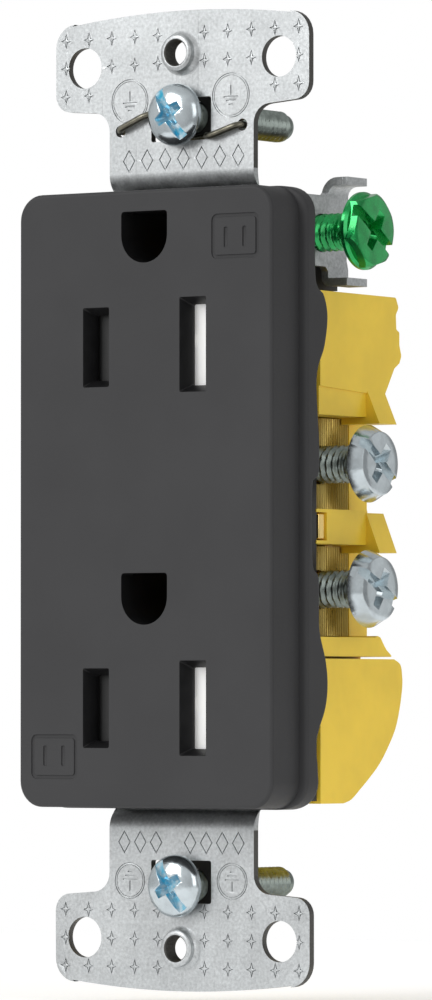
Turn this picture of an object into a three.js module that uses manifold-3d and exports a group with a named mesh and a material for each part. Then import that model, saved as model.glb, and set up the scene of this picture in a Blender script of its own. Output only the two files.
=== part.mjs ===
// Duplex wall outlet with a rectangular face, tamper-resistant shutters and side-wired screw
// terminals, built as the separate pieces that it comes apart into.
//
// Frame, in millimetres: +X right, +Y back into the wall, +Z up, seen from the room.
// Y = 0 is the front face of the strap's ears, and the origin lies midway between the two
// mounting screws.

import * as THREE from 'three';
import { mergeVertices } from 'three/addons/utils/BufferGeometryUtils.js';
import Module from 'manifold-3d';

const wasm = await Module();
wasm.setup();

// ---- driving dimensions -------------------------------------------------------------------

const GAP = 0.3;                 // clearance kept between neighbouring pieces
const ROUND = 24;                // facets on a round piece

// outlets
const OUTLET_PITCH = 38.9;       // from one outlet to the other
const BLADE_Z = 16.4;            // the upper outlet's blades above the origin
const BLADE_X = 6.35;            // half the blade spacing
const GROUND_RISE = 11.95;       // the ground pin above the blades
const SLOT_WIDTH = 2.2;          // a blade slot through the face
const LEAD_WIDTH = 3.4;          // its lead-in
const LEAD_DEPTH = 1.3;
const LEAD_MARGIN = 0.75;        // lead-in beyond each end of the slot
const LINE_SLOT = 7.1;           // slot heights
const NEUTRAL_SLOT = 8.7;
const GROUND_RADIUS = 3.0;       // round lower half of the ground hole
const GROUND_FLAT = 2.55;        // flat top of the ground hole above its centre

// front cover
const FACE_WIDTH = 33.2;
const FACE_HEIGHT = 66.4;
const FACE_Y = -6.96;            // front plane of the face
const FACE_THICKNESS = 2.06;
const FACE_CORNER = 2.8;
const FACE_EDGE = 0.8;
const FLANGE_LIP = 1.0;          // flange beyond the insert, each side
const FLANGE_FRONT = -1.85;
const FLANGE_BACK = -0.7;
const SKIRT_LIP = 0.8;           // skirt beyond the insert, each side
const END_LIP = 0.15;            // flange and skirt beyond the insert at the ends
const COVER_WALL = 1.6;
const SKIRT_LOBE_Y = 2.45;       // the skirt's rear edge at its deepest
const SKIRT_WAVE = [             // height and depth along that edge, from the bottom up
  [-31, 0.6], [-26, 0.3], [-22.6, 1.9], [-20, SKIRT_LOBE_Y], [-17.3, 2.1], [-13.9, 0.8], [-8.7, 0.75],
  [-7, -0.5], [1.3, -0.5], [2.5, 0.8], [6, 0.8], [12.8, 0.35], [16, 1.8], [19.5, SKIRT_LOBE_Y],
  [21.9, 1.6], [23.4, 0.2], [31, 0.1],
];

// strap
const STRAP = 0.85;              // sheet thickness
const EAR_WIDTH = 33.4;
const EAR_RISE = 19.85;          // crown of the ear's end arc, above the face's end
const EAR_CROWN = 0.85;          // height of that arc
const EAR_CORNER = 3.0;
const EAR_INNER_RISE = 9.1;      // the ear's inner edge above the face's end
const EAR_INNER_CORNER = 1.2;
const NECK_WIDTH = 19.0;
const NECK_FILLET = 1.7;
const NECK_BEND_RISE = 3.4;      // where the neck bends back, above the face's end
const WEB_Y = 3.3;               // front face of the web behind the cover
const WEB_WIDTH = 7.8;
const PAD_WIDTH = 10.8;          // web around a ground hole
const PAD_HEIGHT = 10.6;
const WEB_HOLE = 2.6;            // half the square hole for a ground pin
const SHOULDER_HEIGHT = 9.2;     // full-width web below the neck
const EAR_HOLE_MARGIN = 3.9;     // from the ear's side to the hole's centre
const EAR_HOLE_RISE = 14.23;
const EAR_HOLE_RADIUS = 2.22;
const PLATE_SCREW_RISE = 15.21;  // tapped holes for the wall plate's screws
const PLATE_SCREW_RADIUS = 1.38;
const COLLAR_RADIUS = 1.98;
const COLLAR_HEIGHT = 1.1;
const MOUNT_RISE = 8.47;         // mounting screws
const MOUNT_SLOT_WIDTH = 7.9;
const MOUNT_SLOT_DROP = 2.75;    // slot below the screw's axis
const MOUNT_SLOT_RISE = 1.9;     // slot above it
const TAB_X = 11.0;              // inner face of the ground tab
const TAB_LOW = 23.3;
const TAB_HIGH = 35.1;
const TAB_STEP = 33.1;           // tab height in front of the lips
const TAB_DEPTH = 11.55;         // from the web's front to the tab's rear edge
const LIP_WIDTH = 3.95;
const LIP_REACH = 3.35;          // lips beyond the tab's inner face

// auto-ground wire
const WIRE_RADIUS = 0.37;
const WIRE_HOLE_MARGIN = 1.47;   // from the neck's side to a wire hole
const WIRE_HOLE_DROP = 1.37;     // wire holes below the mounting screw

// screws
const MOUNT_SHANK = 1.75;
const MOUNT_HEAD = 3.4;
const MOUNT_HEAD_HEIGHT = 1.9;
const MOUNT_LENGTH = 21.3;
const MOUNT_HEAD_Y = -0.9;       // underside of the head
const TERMINAL_SHANK = 2.08;
const TERMINAL_HEAD = 4.17;
const TERMINAL_HEAD_HEIGHT = 1.9;
const TERMINAL_LENGTH = 6.8;
const TERMINAL_X = 16.2;         // underside of a backed-out head
const TERMINAL_DEPTH = 4.8;      // from a bus's front edge to its screws
const TERMINAL_MID = -2.83;      // middle of the terminal zone
const TERMINAL_PITCH = 13.55;
const GROUND_SCREW_X = 17.0;
const GROUND_SCREW_DEPTH = 6.4;  // from the web's front to the ground screw
const GROUND_SCREW_Z = 29.0;
const GROUND_SCREW_LENGTH = 7.9;
const ASSEMBLY_SHANK = 1.25;
const ASSEMBLY_HEAD = 2.6;
const ASSEMBLY_HEAD_HEIGHT = 1.6;

// insulator and rear body
const INSULATOR_THICKNESS = 2.15;
const INSULATOR_WIDTH = 26.4;
const RIM_FRONT = 0.2;           // rims that reach forward inside the cover
const RIM_WALL = 1.0;
const RIM_HALF_HEIGHT = 29.0;
const BODY_WIDTH = 27.0;
const BODY_MARGIN = 0.4;         // the body ends short of the face's ends
const BODY_DEPTH = 15.5;         // front of the body to the upper block's rear
const CORE_DEPTH = 15.1;
const CORE_WIDTH = 17.4;
const UPPER_BLOCK_LOW = 12.5;
const UPPER_BLOCK_HIGH = 22.6;
const LOWER_BLOCK_TOP = -17.2;
const BAR_X = 13.3;              // outer face of the separator bars
const BAR_DEPTH = 9.3;
const RIB_X = 15.1;              // outer edge of the flared ribs
const RIB_THICKNESS = 3.3;
const RIB_DROP = 0.75;           // how far a rib hangs below its bar
const MIDDLE_BAR = [-4.8, -1.0];
const UPPER_BAR_LOW = 9.2;
const LOWER_BAR = [-16.9, -14.9];
const GROUND_BLOCK_X = [4.3, 10.2];
const GROUND_BLOCK_LOW = 23.0;
const GROUND_BLOCK_DEPTH = 8.3;

// buses and contacts
const BUS = 0.8;                 // strip thickness
const BUS_X = 9.0;               // inner face of the terminal plates
const BUS_DEPTH = 10.7;
const BUS_LOW = -14.6;
const BUS_HIGH = 9.0;
const BREAK_TAB_DEPTH = 1.4;
const BREAK_TAB_X = 12.9;        // outer face of the break-off tab in the bar's window
const TAB_WINDOW = [-3.9, -1.45];
const ARM_DEPTH = 4.8;
const CONTACT_GAP = 1.3;         // relaxed gap that a 1.5 mm blade springs open
const CONTACT_LEAF = 0.6;
const CONTACT_HALF = 3.0;        // half the height of a contact
const CONTACT_DEPTH = 8.1;
const GROUND_LEAF = 0.5;
const GROUND_GAP = 4.6;
const GROUND_CONTACT_WIDTH = 3.6;
const GROUND_PLATE = 6.4;        // width of the plate that the leaves fold from
const RIVET_RADIUS = 0.6;
const RIVET_HEAD = 1.05;
const RIVET_OFFSET = 3.9;        // rivets above and below the ground hole

// shutters
const SHUTTER_FRONT = -4.6;
const SHUTTER_BACK = -1.9;
const SHUTTER_INNER_X = 4.3;
const SHUTTER_OUTER_X = 9.3;
const SHUTTER_HEIGHT = 9.8;
const SHUTTER_TRAVEL = 3.3;
const SPRING_RADIUS = 0.8;
const SPRING_INNER_X = 6.9;
const TRAY_FRONT = -1.6;
const TRAY_BACK = -0.4;
const TRAY_WIDTH = 29.2;
const TRAY_HEIGHT = 11.6;
const TRAY_END = 0.7;            // end walls that the springs push against
const BOSS_RADIUS = 2.1;         // cover bosses for the assembly screws

// ---- places worked out from them ----------------------------------------------------------

const OUTLETS = { upper: BLADE_Z, lower: BLADE_Z - OUTLET_PITCH };
const SIDES = { neutral: 1, line: -1 };
const TERMINALS = { upper: TERMINAL_MID + TERMINAL_PITCH / 2, lower: TERMINAL_MID - TERMINAL_PITCH / 2 };
const FACE_END = FACE_HEIGHT / 2;
const WEB_END = FACE_END;
const NECK_BEND = FACE_END + NECK_BEND_RISE;
const EAR_INNER = FACE_END + EAR_INNER_RISE;
const EAR_TOP = FACE_END + EAR_RISE;
const EAR_SHOULDER = EAR_TOP - EAR_CROWN;
const EAR_HOLE_X = EAR_WIDTH / 2 - EAR_HOLE_MARGIN;
const EAR_HOLE_Z = FACE_END + EAR_HOLE_RISE;
const PLATE_SCREW_Z = FACE_END + PLATE_SCREW_RISE;
const MOUNT_Z = FACE_END + MOUNT_RISE;
const WIRE_HOLE_X = NECK_WIDTH / 2 - WIRE_HOLE_MARGIN;
const WIRE_HOLE_Z = MOUNT_Z - WIRE_HOLE_DROP;
const BODY_HALF_HEIGHT = FACE_END - BODY_MARGIN;
const WEB_BACK = WEB_Y + STRAP;
const INSULATOR_FRONT = WEB_BACK + GAP;
const INSULATOR_BACK = INSULATOR_FRONT + INSULATOR_THICKNESS;
const BODY_FRONT = INSULATOR_BACK + GAP;
const BODY_HALF = BODY_WIDTH / 2;
const BODY_REAR = BODY_FRONT + BODY_DEPTH;
const CORE_REAR = BODY_FRONT + CORE_DEPTH;
const BAR_BACK = BODY_FRONT + BAR_DEPTH;
const RIB_BACK = BAR_BACK + RIB_THICKNESS;
const CONTACT_BACK = BODY_FRONT + CONTACT_DEPTH;
const GROUND_BLOCK_BACK = BODY_FRONT + GROUND_BLOCK_DEPTH;
const BUS_FRONT = BODY_FRONT + GAP;
const BUS_BACK = BUS_FRONT + BUS_DEPTH;
const BREAK_TAB_BACK = BUS_FRONT + BREAK_TAB_DEPTH;
const ARM_BACK = BUS_FRONT + ARM_DEPTH;
const TERMINAL_Y = BUS_FRONT + TERMINAL_DEPTH;
const TAB_BACK = WEB_Y + TAB_DEPTH;
const LIP_FRONT = TAB_BACK - LIP_WIDTH;
const GROUND_SCREW_Y = WEB_Y + GROUND_SCREW_DEPTH;
const CORE_HALF = CORE_WIDTH / 2;
const FACE_BACK = FACE_Y + FACE_THICKNESS;
const CAVITY_HALF = FACE_WIDTH / 2 - COVER_WALL;
const TERMINAL_TIP = TERMINAL_X - TERMINAL_LENGTH;
const TERMINAL_TRAVEL = TERMINAL_X - BUS_X - BUS - GAP;
const CLIP_OFFSETS = { upper: TERMINAL_MID + 2.25, lower: TERMINAL_MID - 2.25 };
const TRAY_HALF = TRAY_WIDTH / 2;

// ---- solids -------------------------------------------------------------------------------

function solid(geometry) {
  const bare = geometry.clone();
  bare.deleteAttribute('normal');
  bare.deleteAttribute('uv');
  const merged = mergeVertices(bare, 1e-4);
  const mesh = new wasm.Mesh({
    numProp: 3,
    vertProperties: new Float32Array(merged.attributes.position.array),
    triVerts: new Uint32Array(merged.index.array),
  });
  return new wasm.Manifold(mesh);
}

function geometryOf(manifold) {
  const mesh = manifold.getMesh();
  const geometry = new THREE.BufferGeometry();
  geometry.setAttribute('position', new THREE.BufferAttribute(mesh.vertProperties, 3));
  geometry.setIndex(new THREE.BufferAttribute(mesh.triVerts, 1));
  geometry.computeVertexNormals();
  return geometry;
}

function block([x0, x1], [y0, y1], [z0, z1]) {
  const geometry = new THREE.BoxGeometry(x1 - x0, y1 - y0, z1 - z0);
  geometry.translate((x0 + x1) / 2, (y0 + y1) / 2, (z0 + z1) / 2);
  return solid(geometry);
}

// A rod along one axis between two places on it; at gives the other two coordinates in order.
function rod(radius, axis, [from, to], at, facets = ROUND) {
  const geometry = new THREE.CylinderGeometry(radius, radius, to - from, facets);
  const middle = (from + to) / 2;
  if (axis === 'x') {
    geometry.rotateZ(Math.PI / 2);
    geometry.translate(middle, at[0], at[1]);
  } else if (axis === 'y') {
    geometry.translate(at[0], middle, at[1]);
  } else {
    geometry.rotateX(Math.PI / 2);
    geometry.translate(at[0], at[1], middle);
  }
  return solid(geometry);
}

// An outline in X and Z, carried from one Y to another.
function slab(shape, [y0, y1], bevel = 0) {
  const geometry = new THREE.ExtrudeGeometry(shape, {
    depth: y1 - y0 - 2 * bevel,
    bevelEnabled: bevel > 0,
    bevelThickness: bevel,
    bevelSize: bevel,
    bevelOffset: -bevel,
    bevelSegments: 2,
    curveSegments: 6,
  });
  geometry.rotateX(Math.PI / 2);
  geometry.translate(0, y1 - bevel, 0);
  return solid(geometry);
}

// An outline in Y and Z, carried from one X to another.
function beam(points, [x0, x1]) {
  const shape = new THREE.Shape(points.map(([y, z]) => new THREE.Vector2(y, z)));
  const geometry = new THREE.ExtrudeGeometry(shape, { depth: x1 - x0, bevelEnabled: false, steps: 1 });
  geometry.applyMatrix4(new THREE.Matrix4().set(0, 0, 1, x0, 1, 0, 0, 0, 0, 1, 0, 0, 0, 0, 0, 1));
  return solid(geometry);
}

// An outline in X and Y, carried from one Z to another.
function column(points, [z0, z1]) {
  const shape = new THREE.Shape(points.map(([x, y]) => new THREE.Vector2(x, y)));
  const geometry = new THREE.ExtrudeGeometry(shape, { depth: z1 - z0, bevelEnabled: false });
  geometry.translate(0, 0, z0);
  return solid(geometry);
}

function join(parts) {
  return parts.reduce((sum, part) => sum.add(part));
}

function cut(body, tools) {
  return tools.reduce((left, tool) => left.subtract(tool), body);
}

function mirrored(points) {
  return points.map(([x, y]) => [-x, y]).reverse();
}

function around(centre, half) {
  return [centre - half, centre + half];
}

function sideways(side, [x0, x1]) {
  return side > 0 ? [x0, x1] : [-x1, -x0];
}

function roundedRectangle(width, height, radius) {
  const shape = new THREE.Shape();
  const x = width / 2;
  const z = height / 2;
  shape.moveTo(-x + radius, -z);
  shape.lineTo(x - radius, -z);
  shape.absarc(x - radius, -z + radius, radius, -Math.PI / 2, 0);
  shape.lineTo(x, z - radius);
  shape.absarc(x - radius, z - radius, radius, 0, Math.PI / 2);
  shape.lineTo(-x + radius, z);
  shape.absarc(-x + radius, z - radius, radius, Math.PI / 2, Math.PI);
  shape.lineTo(-x, -z + radius);
  shape.absarc(-x + radius, -z + radius, radius, Math.PI, 1.5 * Math.PI);
  return shape;
}

// ---- the assembly -------------------------------------------------------------------------

const outlet = new THREE.Group();

function material(color, roughness, metalness) {
  return new THREE.MeshStandardMaterial({ color, roughness, metalness });
}

const charcoal = material(0x4e4e50, 0.55, 0);
const yellow = material(0xd6b84a, 0.5, 0);
const black = material(0x1d1d1f, 0.5, 0);
const white = material(0xe6e6e2, 0.45, 0);
const galvanised = material(0xb4b6b4, 0.42, 1);
const zinc = material(0x9fb0b8, 0.3, 1);
const brass = material(0xc9a457, 0.32, 1);
const nickel = material(0xc6c2b4, 0.3, 1);
const green = material(0x3f8a5c, 0.35, 1);
const springWire = material(0x9a9a96, 0.35, 1);
const fibre = material(0x2b2a28, 0.8, 0);

function piece(name, manifold, look) {
  const mesh = new THREE.Mesh(geometryOf(manifold), look);
  mesh.name = name;
  outlet.add(mesh);
  return mesh;
}

// ---- front cover --------------------------------------------------------------------------

function groundHole() {
  const shape = new THREE.Shape();
  shape.moveTo(GROUND_RADIUS, GROUND_FLAT);
  shape.lineTo(-GROUND_RADIUS, GROUND_FLAT);
  shape.lineTo(-GROUND_RADIUS, 0);
  shape.absarc(0, 0, GROUND_RADIUS, Math.PI, 2 * Math.PI);
  shape.lineTo(GROUND_RADIUS, GROUND_FLAT);
  return shape;
}

// Everything behind the skirt's rear edge, which waves between two deep lobes.
function behindSkirt() {
  const end = FACE_HEIGHT / 2 + END_LIP + 1;
  const edge = new THREE.CatmullRomCurve3(
    SKIRT_WAVE.map(([z, y]) => new THREE.Vector3(y, z, 0)), false, 'centripetal',
  ).getPoints(48).map((point) => [point.x, point.y]);
  const far = WEB_Y + 4;
  const [first, last] = [edge[0][0], edge[edge.length - 1][0]];
  return beam([...edge, [last, end], [far, end], [far, -end], [first, -end]], around(0, FACE_WIDTH));
}

function frontCover() {
  const cornered = (lip) => roundedRectangle(FACE_WIDTH + 2 * lip, FACE_HEIGHT + 2 * END_LIP, FACE_CORNER);
  const faceOutline = roundedRectangle(FACE_WIDTH, FACE_HEIGHT, FACE_CORNER);
  const insert = slab(faceOutline, [FACE_Y, FLANGE_BACK], FACE_EDGE);
  const flange = slab(cornered(FLANGE_LIP), [FLANGE_FRONT, FLANGE_BACK]);
  const skirt = slab(cornered(SKIRT_LIP), [FLANGE_BACK - 0.1, SKIRT_LOBE_Y + 0.2]);
  const cavity = slab(
    roundedRectangle(2 * CAVITY_HALF, FACE_HEIGHT - 2 * COVER_WALL, FACE_CORNER - COVER_WALL / 2),
    [FACE_BACK, WEB_Y],
  );
  let body = join([insert, flange, skirt]).subtract(behindSkirt()).subtract(cavity);
  for (const z of Object.values(OUTLETS)) {
    body = body.add(rod(BOSS_RADIUS, 'y', [FACE_BACK - 0.2, WEB_Y - GAP], [0, z]));
    body = body.subtract(rod(ASSEMBLY_SHANK + GAP, 'y', [FACE_BACK + 1.6, WEB_Y], [0, z]));
    for (const [name, side] of Object.entries(SIDES)) {
      const height = name === 'neutral' ? NEUTRAL_SLOT : LINE_SLOT;
      const x = side * BLADE_X;
      body = cut(body, [
        block(around(x, SLOT_WIDTH / 2), [FACE_Y - 1, FACE_BACK + 0.1], around(z, height / 2)),
        block(around(x, LEAD_WIDTH / 2), [FACE_Y - 1, FACE_Y + LEAD_DEPTH],
          around(z, height / 2 + LEAD_MARGIN)),
      ]);
    }
    const hole = slab(groundHole(), [FACE_Y - 1, FACE_BACK + 0.1]);
    body = body.subtract(hole.translate([0, 0, z + GROUND_RISE]));
  }
  return body;
}

piece('front_cover', frontCover(), charcoal);

// ---- shutters -----------------------------------------------------------------------------

function shutterTray(z) {
  const plate = block([-TRAY_HALF, TRAY_HALF], [TRAY_FRONT, TRAY_BACK], around(z, TRAY_HEIGHT / 2));
  let tray = plate.subtract(rod(BOSS_RADIUS + GAP, 'y', [TRAY_FRONT - 1, TRAY_BACK + 1], [0, z]));
  for (const side of Object.values(SIDES)) {
    const window = sideways(side, [BLADE_X - LEAD_WIDTH / 2, BLADE_X + LEAD_WIDTH / 2]);
    const end = sideways(side, [TRAY_HALF - TRAY_END, TRAY_HALF]);
    const stop = sideways(side, [SHUTTER_INNER_X - GAP - TRAY_END, SHUTTER_INNER_X - GAP]);
    tray = tray.subtract(block(window, [TRAY_FRONT - 1, TRAY_BACK + 1], around(z, SHUTTER_HEIGHT / 2)));
    tray = tray.add(block(end, [SHUTTER_FRONT, TRAY_FRONT + 0.1], around(z, TRAY_HEIGHT / 4)));
    tray = tray.add(block(stop, [SHUTTER_FRONT, TRAY_FRONT + 0.1], around(z, TRAY_HEIGHT / 2)));
  }
  return tray;
}

// A wedge-faced slide; the groove in its back holds the spring.
function shutter(side, z) {
  const ramp = (SHUTTER_OUTER_X - SHUTTER_INNER_X) * 0.4;
  const points = [
    [SHUTTER_INNER_X, SHUTTER_BACK],
    [SHUTTER_INNER_X, (SHUTTER_FRONT + SHUTTER_BACK) / 2],
    [SHUTTER_INNER_X + ramp, SHUTTER_FRONT],
    [SHUTTER_OUTER_X, SHUTTER_FRONT],
    [SHUTTER_OUTER_X, SHUTTER_BACK],
  ].reverse();
  const slide = column(side > 0 ? points : mirrored(points), around(z, SHUTTER_HEIGHT / 2));
  const groove = sideways(side, [SPRING_INNER_X - GAP, SHUTTER_OUTER_X + 1]);
  const springY = SHUTTER_BACK - SPRING_RADIUS - GAP;
  return slide.subtract(block(groove, [springY - SPRING_RADIUS - GAP, SHUTTER_BACK + 1],
    around(z, SPRING_RADIUS + GAP)));
}

function shutterSpring(side, z) {
  const outer = TRAY_HALF - TRAY_END - GAP;
  const springY = SHUTTER_BACK - SPRING_RADIUS - GAP;
  return rod(SPRING_RADIUS, 'x', sideways(side, [SPRING_INNER_X, outer]), [springY, z], 12);
}

for (const [level, z] of Object.entries(OUTLETS)) {
  piece(`shutter_tray_${level}`, shutterTray(z), black);
  for (const [name, side] of Object.entries(SIDES)) {
    piece(`${name}_shutter_${level}`, shutter(side, z), name === 'neutral' ? white : black);
    piece(`${name}_shutter_spring_${level}`, shutterSpring(side, z), springWire);
  }
}

// ---- mounting strap -----------------------------------------------------------------------

function earOutline() {
  const w = EAR_WIDTH / 2;
  const n = NECK_WIDTH / 2;
  const shape = new THREE.Shape();
  shape.moveTo(n, NECK_BEND);
  shape.lineTo(n, EAR_INNER - NECK_FILLET);
  shape.quadraticCurveTo(n, EAR_INNER, n + NECK_FILLET, EAR_INNER);
  shape.lineTo(w - EAR_INNER_CORNER, EAR_INNER + 0.4);
  shape.quadraticCurveTo(w, EAR_INNER + 0.4, w, EAR_INNER + 0.4 + EAR_INNER_CORNER);
  shape.lineTo(w, EAR_SHOULDER - EAR_CORNER + 0.5);
  shape.quadraticCurveTo(w, EAR_SHOULDER, w - EAR_CORNER + 1.0, EAR_SHOULDER + 0.15);
  shape.quadraticCurveTo(0, 2 * EAR_TOP - EAR_SHOULDER - 0.15, -w + EAR_CORNER - 1.0, EAR_SHOULDER + 0.15);
  shape.quadraticCurveTo(-w, EAR_SHOULDER, -w, EAR_SHOULDER - EAR_CORNER + 0.5);
  shape.lineTo(-w, EAR_INNER + 0.4 + EAR_INNER_CORNER);
  shape.quadraticCurveTo(-w, EAR_INNER + 0.4, -w + EAR_INNER_CORNER, EAR_INNER + 0.4);
  shape.lineTo(-n - NECK_FILLET, EAR_INNER);
  shape.quadraticCurveTo(-n, EAR_INNER, -n, EAR_INNER - NECK_FILLET);
  shape.lineTo(-n, NECK_BEND);
  return shape;
}

// The upper ear with its neck, in the strap's own frame; the lower ear is the same turned over.
function strapEnd() {
  const n = NECK_WIDTH / 2;
  let ear = slab(earOutline(), [0, STRAP]);
  const slope = beam([
    [0, NECK_BEND],
    [WEB_Y, WEB_END],
    [WEB_Y, WEB_END - SHOULDER_HEIGHT / 4],
    [WEB_BACK, WEB_END - SHOULDER_HEIGHT / 4],
    [WEB_BACK, WEB_END + STRAP / 2],
    [STRAP, NECK_BEND + STRAP / 2],
    [STRAP, NECK_BEND + STRAP],
    [0, NECK_BEND + STRAP],
  ].reverse(), [-n, n]);
  const collar = rod(COLLAR_RADIUS, 'y', [-COLLAR_HEIGHT, STRAP], [0, PLATE_SCREW_Z]);
  ear = join([ear, slope, collar]);
  const holes = [
    rod(PLATE_SCREW_RADIUS, 'y', [-COLLAR_HEIGHT - 1, STRAP + 1], [0, PLATE_SCREW_Z]),
    rod(EAR_HOLE_RADIUS, 'y', [-1, STRAP + 1], [EAR_HOLE_X, EAR_HOLE_Z]),
    rod(EAR_HOLE_RADIUS, 'y', [-1, STRAP + 1], [-EAR_HOLE_X, EAR_HOLE_Z]),
    block([-MOUNT_SLOT_WIDTH / 2, MOUNT_SLOT_WIDTH / 2], [-1, STRAP + 1],
      [MOUNT_Z - MOUNT_SLOT_DROP, MOUNT_Z + MOUNT_SLOT_RISE]),
  ];
  return cut(ear, holes);
}

function turnedOver(manifold) {
  return manifold.rotate([0, 180, 0]);
}

function mountingStrap() {
  const web = block([-WEB_WIDTH / 2, WEB_WIDTH / 2], [WEB_Y, WEB_BACK], [-WEB_END, WEB_END]);
  const full = [-NECK_WIDTH / 2, NECK_WIDTH / 2];
  const shoulders = [
    block(full, [WEB_Y, WEB_BACK], [WEB_END - SHOULDER_HEIGHT, WEB_END]),
    block(full, [WEB_Y, WEB_BACK], [-WEB_END, -WEB_END + SHOULDER_HEIGHT / 4]),
  ];
  const tab = join([
    block([NECK_WIDTH / 2 - 0.1, TAB_X + STRAP], [WEB_Y, WEB_BACK], [TAB_LOW, TAB_STEP]),
    block([TAB_X, TAB_X + STRAP], [WEB_Y, TAB_BACK], [TAB_LOW, TAB_STEP]),
    block([TAB_X, TAB_X + STRAP], [LIP_FRONT, TAB_BACK], [TAB_LOW, TAB_HIGH]),
    block([TAB_X, TAB_X + LIP_REACH], [LIP_FRONT, TAB_BACK], [TAB_HIGH - STRAP, TAB_HIGH]),
    block([TAB_X, TAB_X + LIP_REACH], [LIP_FRONT, TAB_BACK], [TAB_LOW, TAB_LOW + STRAP]),
  ]);
  let strap = join([web, ...shoulders, tab, strapEnd(), turnedOver(strapEnd())]);
  strap = strap.subtract(rod(TERMINAL_SHANK + GAP, 'x', [TAB_X - 1, TAB_X + STRAP + 1],
    [GROUND_SCREW_Y, GROUND_SCREW_Z]));
  for (const z of Object.values(OUTLETS)) {
    const ground = z + GROUND_RISE;
    const padHeight = around(ground, PAD_HEIGHT / 2);
    strap = strap.add(block([-PAD_WIDTH / 2, PAD_WIDTH / 2], [WEB_Y, WEB_BACK], padHeight));
    strap = cut(strap, [
      block([-WEB_HOLE, WEB_HOLE], [WEB_Y - 1, WEB_BACK + 1], around(ground, WEB_HOLE)),
      rod(ASSEMBLY_SHANK + GAP, 'y', [WEB_Y - 1, WEB_BACK + 1], [0, z]),
      rod(RIVET_RADIUS + GAP, 'y', [WEB_Y - 1, WEB_BACK + 1], [0, ground + RIVET_OFFSET], 12),
      rod(RIVET_RADIUS + GAP, 'y', [WEB_Y - 1, WEB_BACK + 1], [0, ground - RIVET_OFFSET], 12),
    ]);
  }
  for (const x of [-WIRE_HOLE_X, WIRE_HOLE_X]) {
    strap = strap.subtract(rod(WIRE_RADIUS + GAP, 'y', [-1, STRAP + 1], [x, WIRE_HOLE_Z], 12));
  }
  return strap;
}

piece('mounting_strap', mountingStrap(), galvanised);

// A Z of spring wire: in through one hole, across the front, through the screw slot and out again.
function autoGroundWire() {
  const front = -WIRE_RADIUS - GAP;
  const back = STRAP + WIRE_RADIUS + GAP;
  const low = MOUNT_Z - MOUNT_SHANK - WIRE_RADIUS - GAP;
  const half = MOUNT_SLOT_WIDTH / 2;
  const path = new THREE.CatmullRomCurve3([
    [-WIRE_HOLE_X, back + 1.2, WIRE_HOLE_Z],
    [-WIRE_HOLE_X, 0.2, WIRE_HOLE_Z],
    [-WIRE_HOLE_X + 0.7, front, WIRE_HOLE_Z + 0.3],
    [-half - 0.3, front, WIRE_HOLE_Z + 1.1],
    [-half + 0.75, -0.1, WIRE_HOLE_Z + 1.0],
    [-half + 1.0, STRAP, WIRE_HOLE_Z + 0.7],
    [-half + 1.6, back, low + 0.7],
    [0, back + 0.1, low - 0.1],
    [half - 1.8, back, low + 0.2],
    [half - 1.0, STRAP, low + 0.5],
    [half - 0.75, -0.1, low + 0.6],
    [half + 0.3, front, low + 0.6],
    [WIRE_HOLE_X - 0.7, front, WIRE_HOLE_Z - 0.2],
    [WIRE_HOLE_X, 0.2, WIRE_HOLE_Z],
    [WIRE_HOLE_X, back + 1.2, WIRE_HOLE_Z],
  ].map((point) => new THREE.Vector3(...point)), false, 'centripetal');
  const section = new THREE.Shape();
  section.absarc(0, 0, WIRE_RADIUS, 0, 2 * Math.PI);
  return solid(new THREE.ExtrudeGeometry(section, { steps: 60, curveSegments: 4, extrudePath: path }));
}

piece('auto_ground_wire', autoGroundWire(), springWire);

// ---- screws -------------------------------------------------------------------------------

// A pan-head screw along +Y: its head's underside is at 0 and its tip at length.
function panScrew(shank, head, headHeight, length, { recess = head * 0.62, flats = ROUND } = {}) {
  const dome = headHeight * 0.35;
  const points = [
    [0, -headHeight],
    [head * 0.55, -headHeight],
    [head * 0.9, -headHeight + dome * 0.6],
    [head, -headHeight + dome * 1.8],
    [head, 0],
    [shank, 0],
    [shank, length - shank * 0.4],
    [shank * 0.75, length],
    [0, length],
  ].map(([r, y]) => new THREE.Vector2(r, y));
  const turned = solid(new THREE.LatheGeometry(points, flats));
  const slot = head * 0.13;
  const depth = [-headHeight - 1, -headHeight * 0.4];
  return cut(turned, [
    block([-head - 1, head + 1], depth, [-slot, slot]),
    block([-slot, slot], depth, [-recess, recess]),
  ]);
}

// The ground screw's head has six flats behind its round crown.
function hexScrew() {
  const body = panScrew(TERMINAL_SHANK, TERMINAL_HEAD, TERMINAL_HEAD_HEIGHT, GROUND_SCREW_LENGTH);
  const hexagon = rod(TERMINAL_HEAD * 1.08, 'y', [-TERMINAL_HEAD_HEIGHT - 1, 0.01], [0, 0], 6);
  const shank = rod(TERMINAL_HEAD, 'y', [0, GROUND_SCREW_LENGTH + 1], [0, 0]);
  return body.intersect(hexagon.add(shank));
}

for (const [level, sign] of Object.entries({ upper: 1, lower: -1 })) {
  const screw = piece(`mounting_screw_${level}`,
    panScrew(MOUNT_SHANK, MOUNT_HEAD, MOUNT_HEAD_HEIGHT, MOUNT_LENGTH), zinc);
  screw.position.set(0, MOUNT_HEAD_Y, sign * MOUNT_Z);
  const washerY = STRAP + 3 * WIRE_RADIUS + 2 * GAP;
  const ring = rod(MOUNT_SHANK + 2, 'y', [washerY, washerY + 0.8], [0, 0]);
  const washer = piece(`captive_washer_${level}`,
    ring.subtract(rod(MOUNT_SHANK + 0.05, 'y', [washerY - 1, washerY + 2], [0, 0])), fibre);
  washer.position.set(0, 0, sign * MOUNT_Z);
}

for (const [name, side] of Object.entries(SIDES)) {
  for (const [level, z] of Object.entries(TERMINALS)) {
    const screw = piece(`${name}_screw_${level}`,
      panScrew(TERMINAL_SHANK, TERMINAL_HEAD, TERMINAL_HEAD_HEIGHT, TERMINAL_LENGTH),
      name === 'neutral' ? nickel : brass);
    screw.position.set(side * TERMINAL_X, TERMINAL_Y, z);
    screw.rotation.z = side * Math.PI / 2;
  }
}

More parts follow.
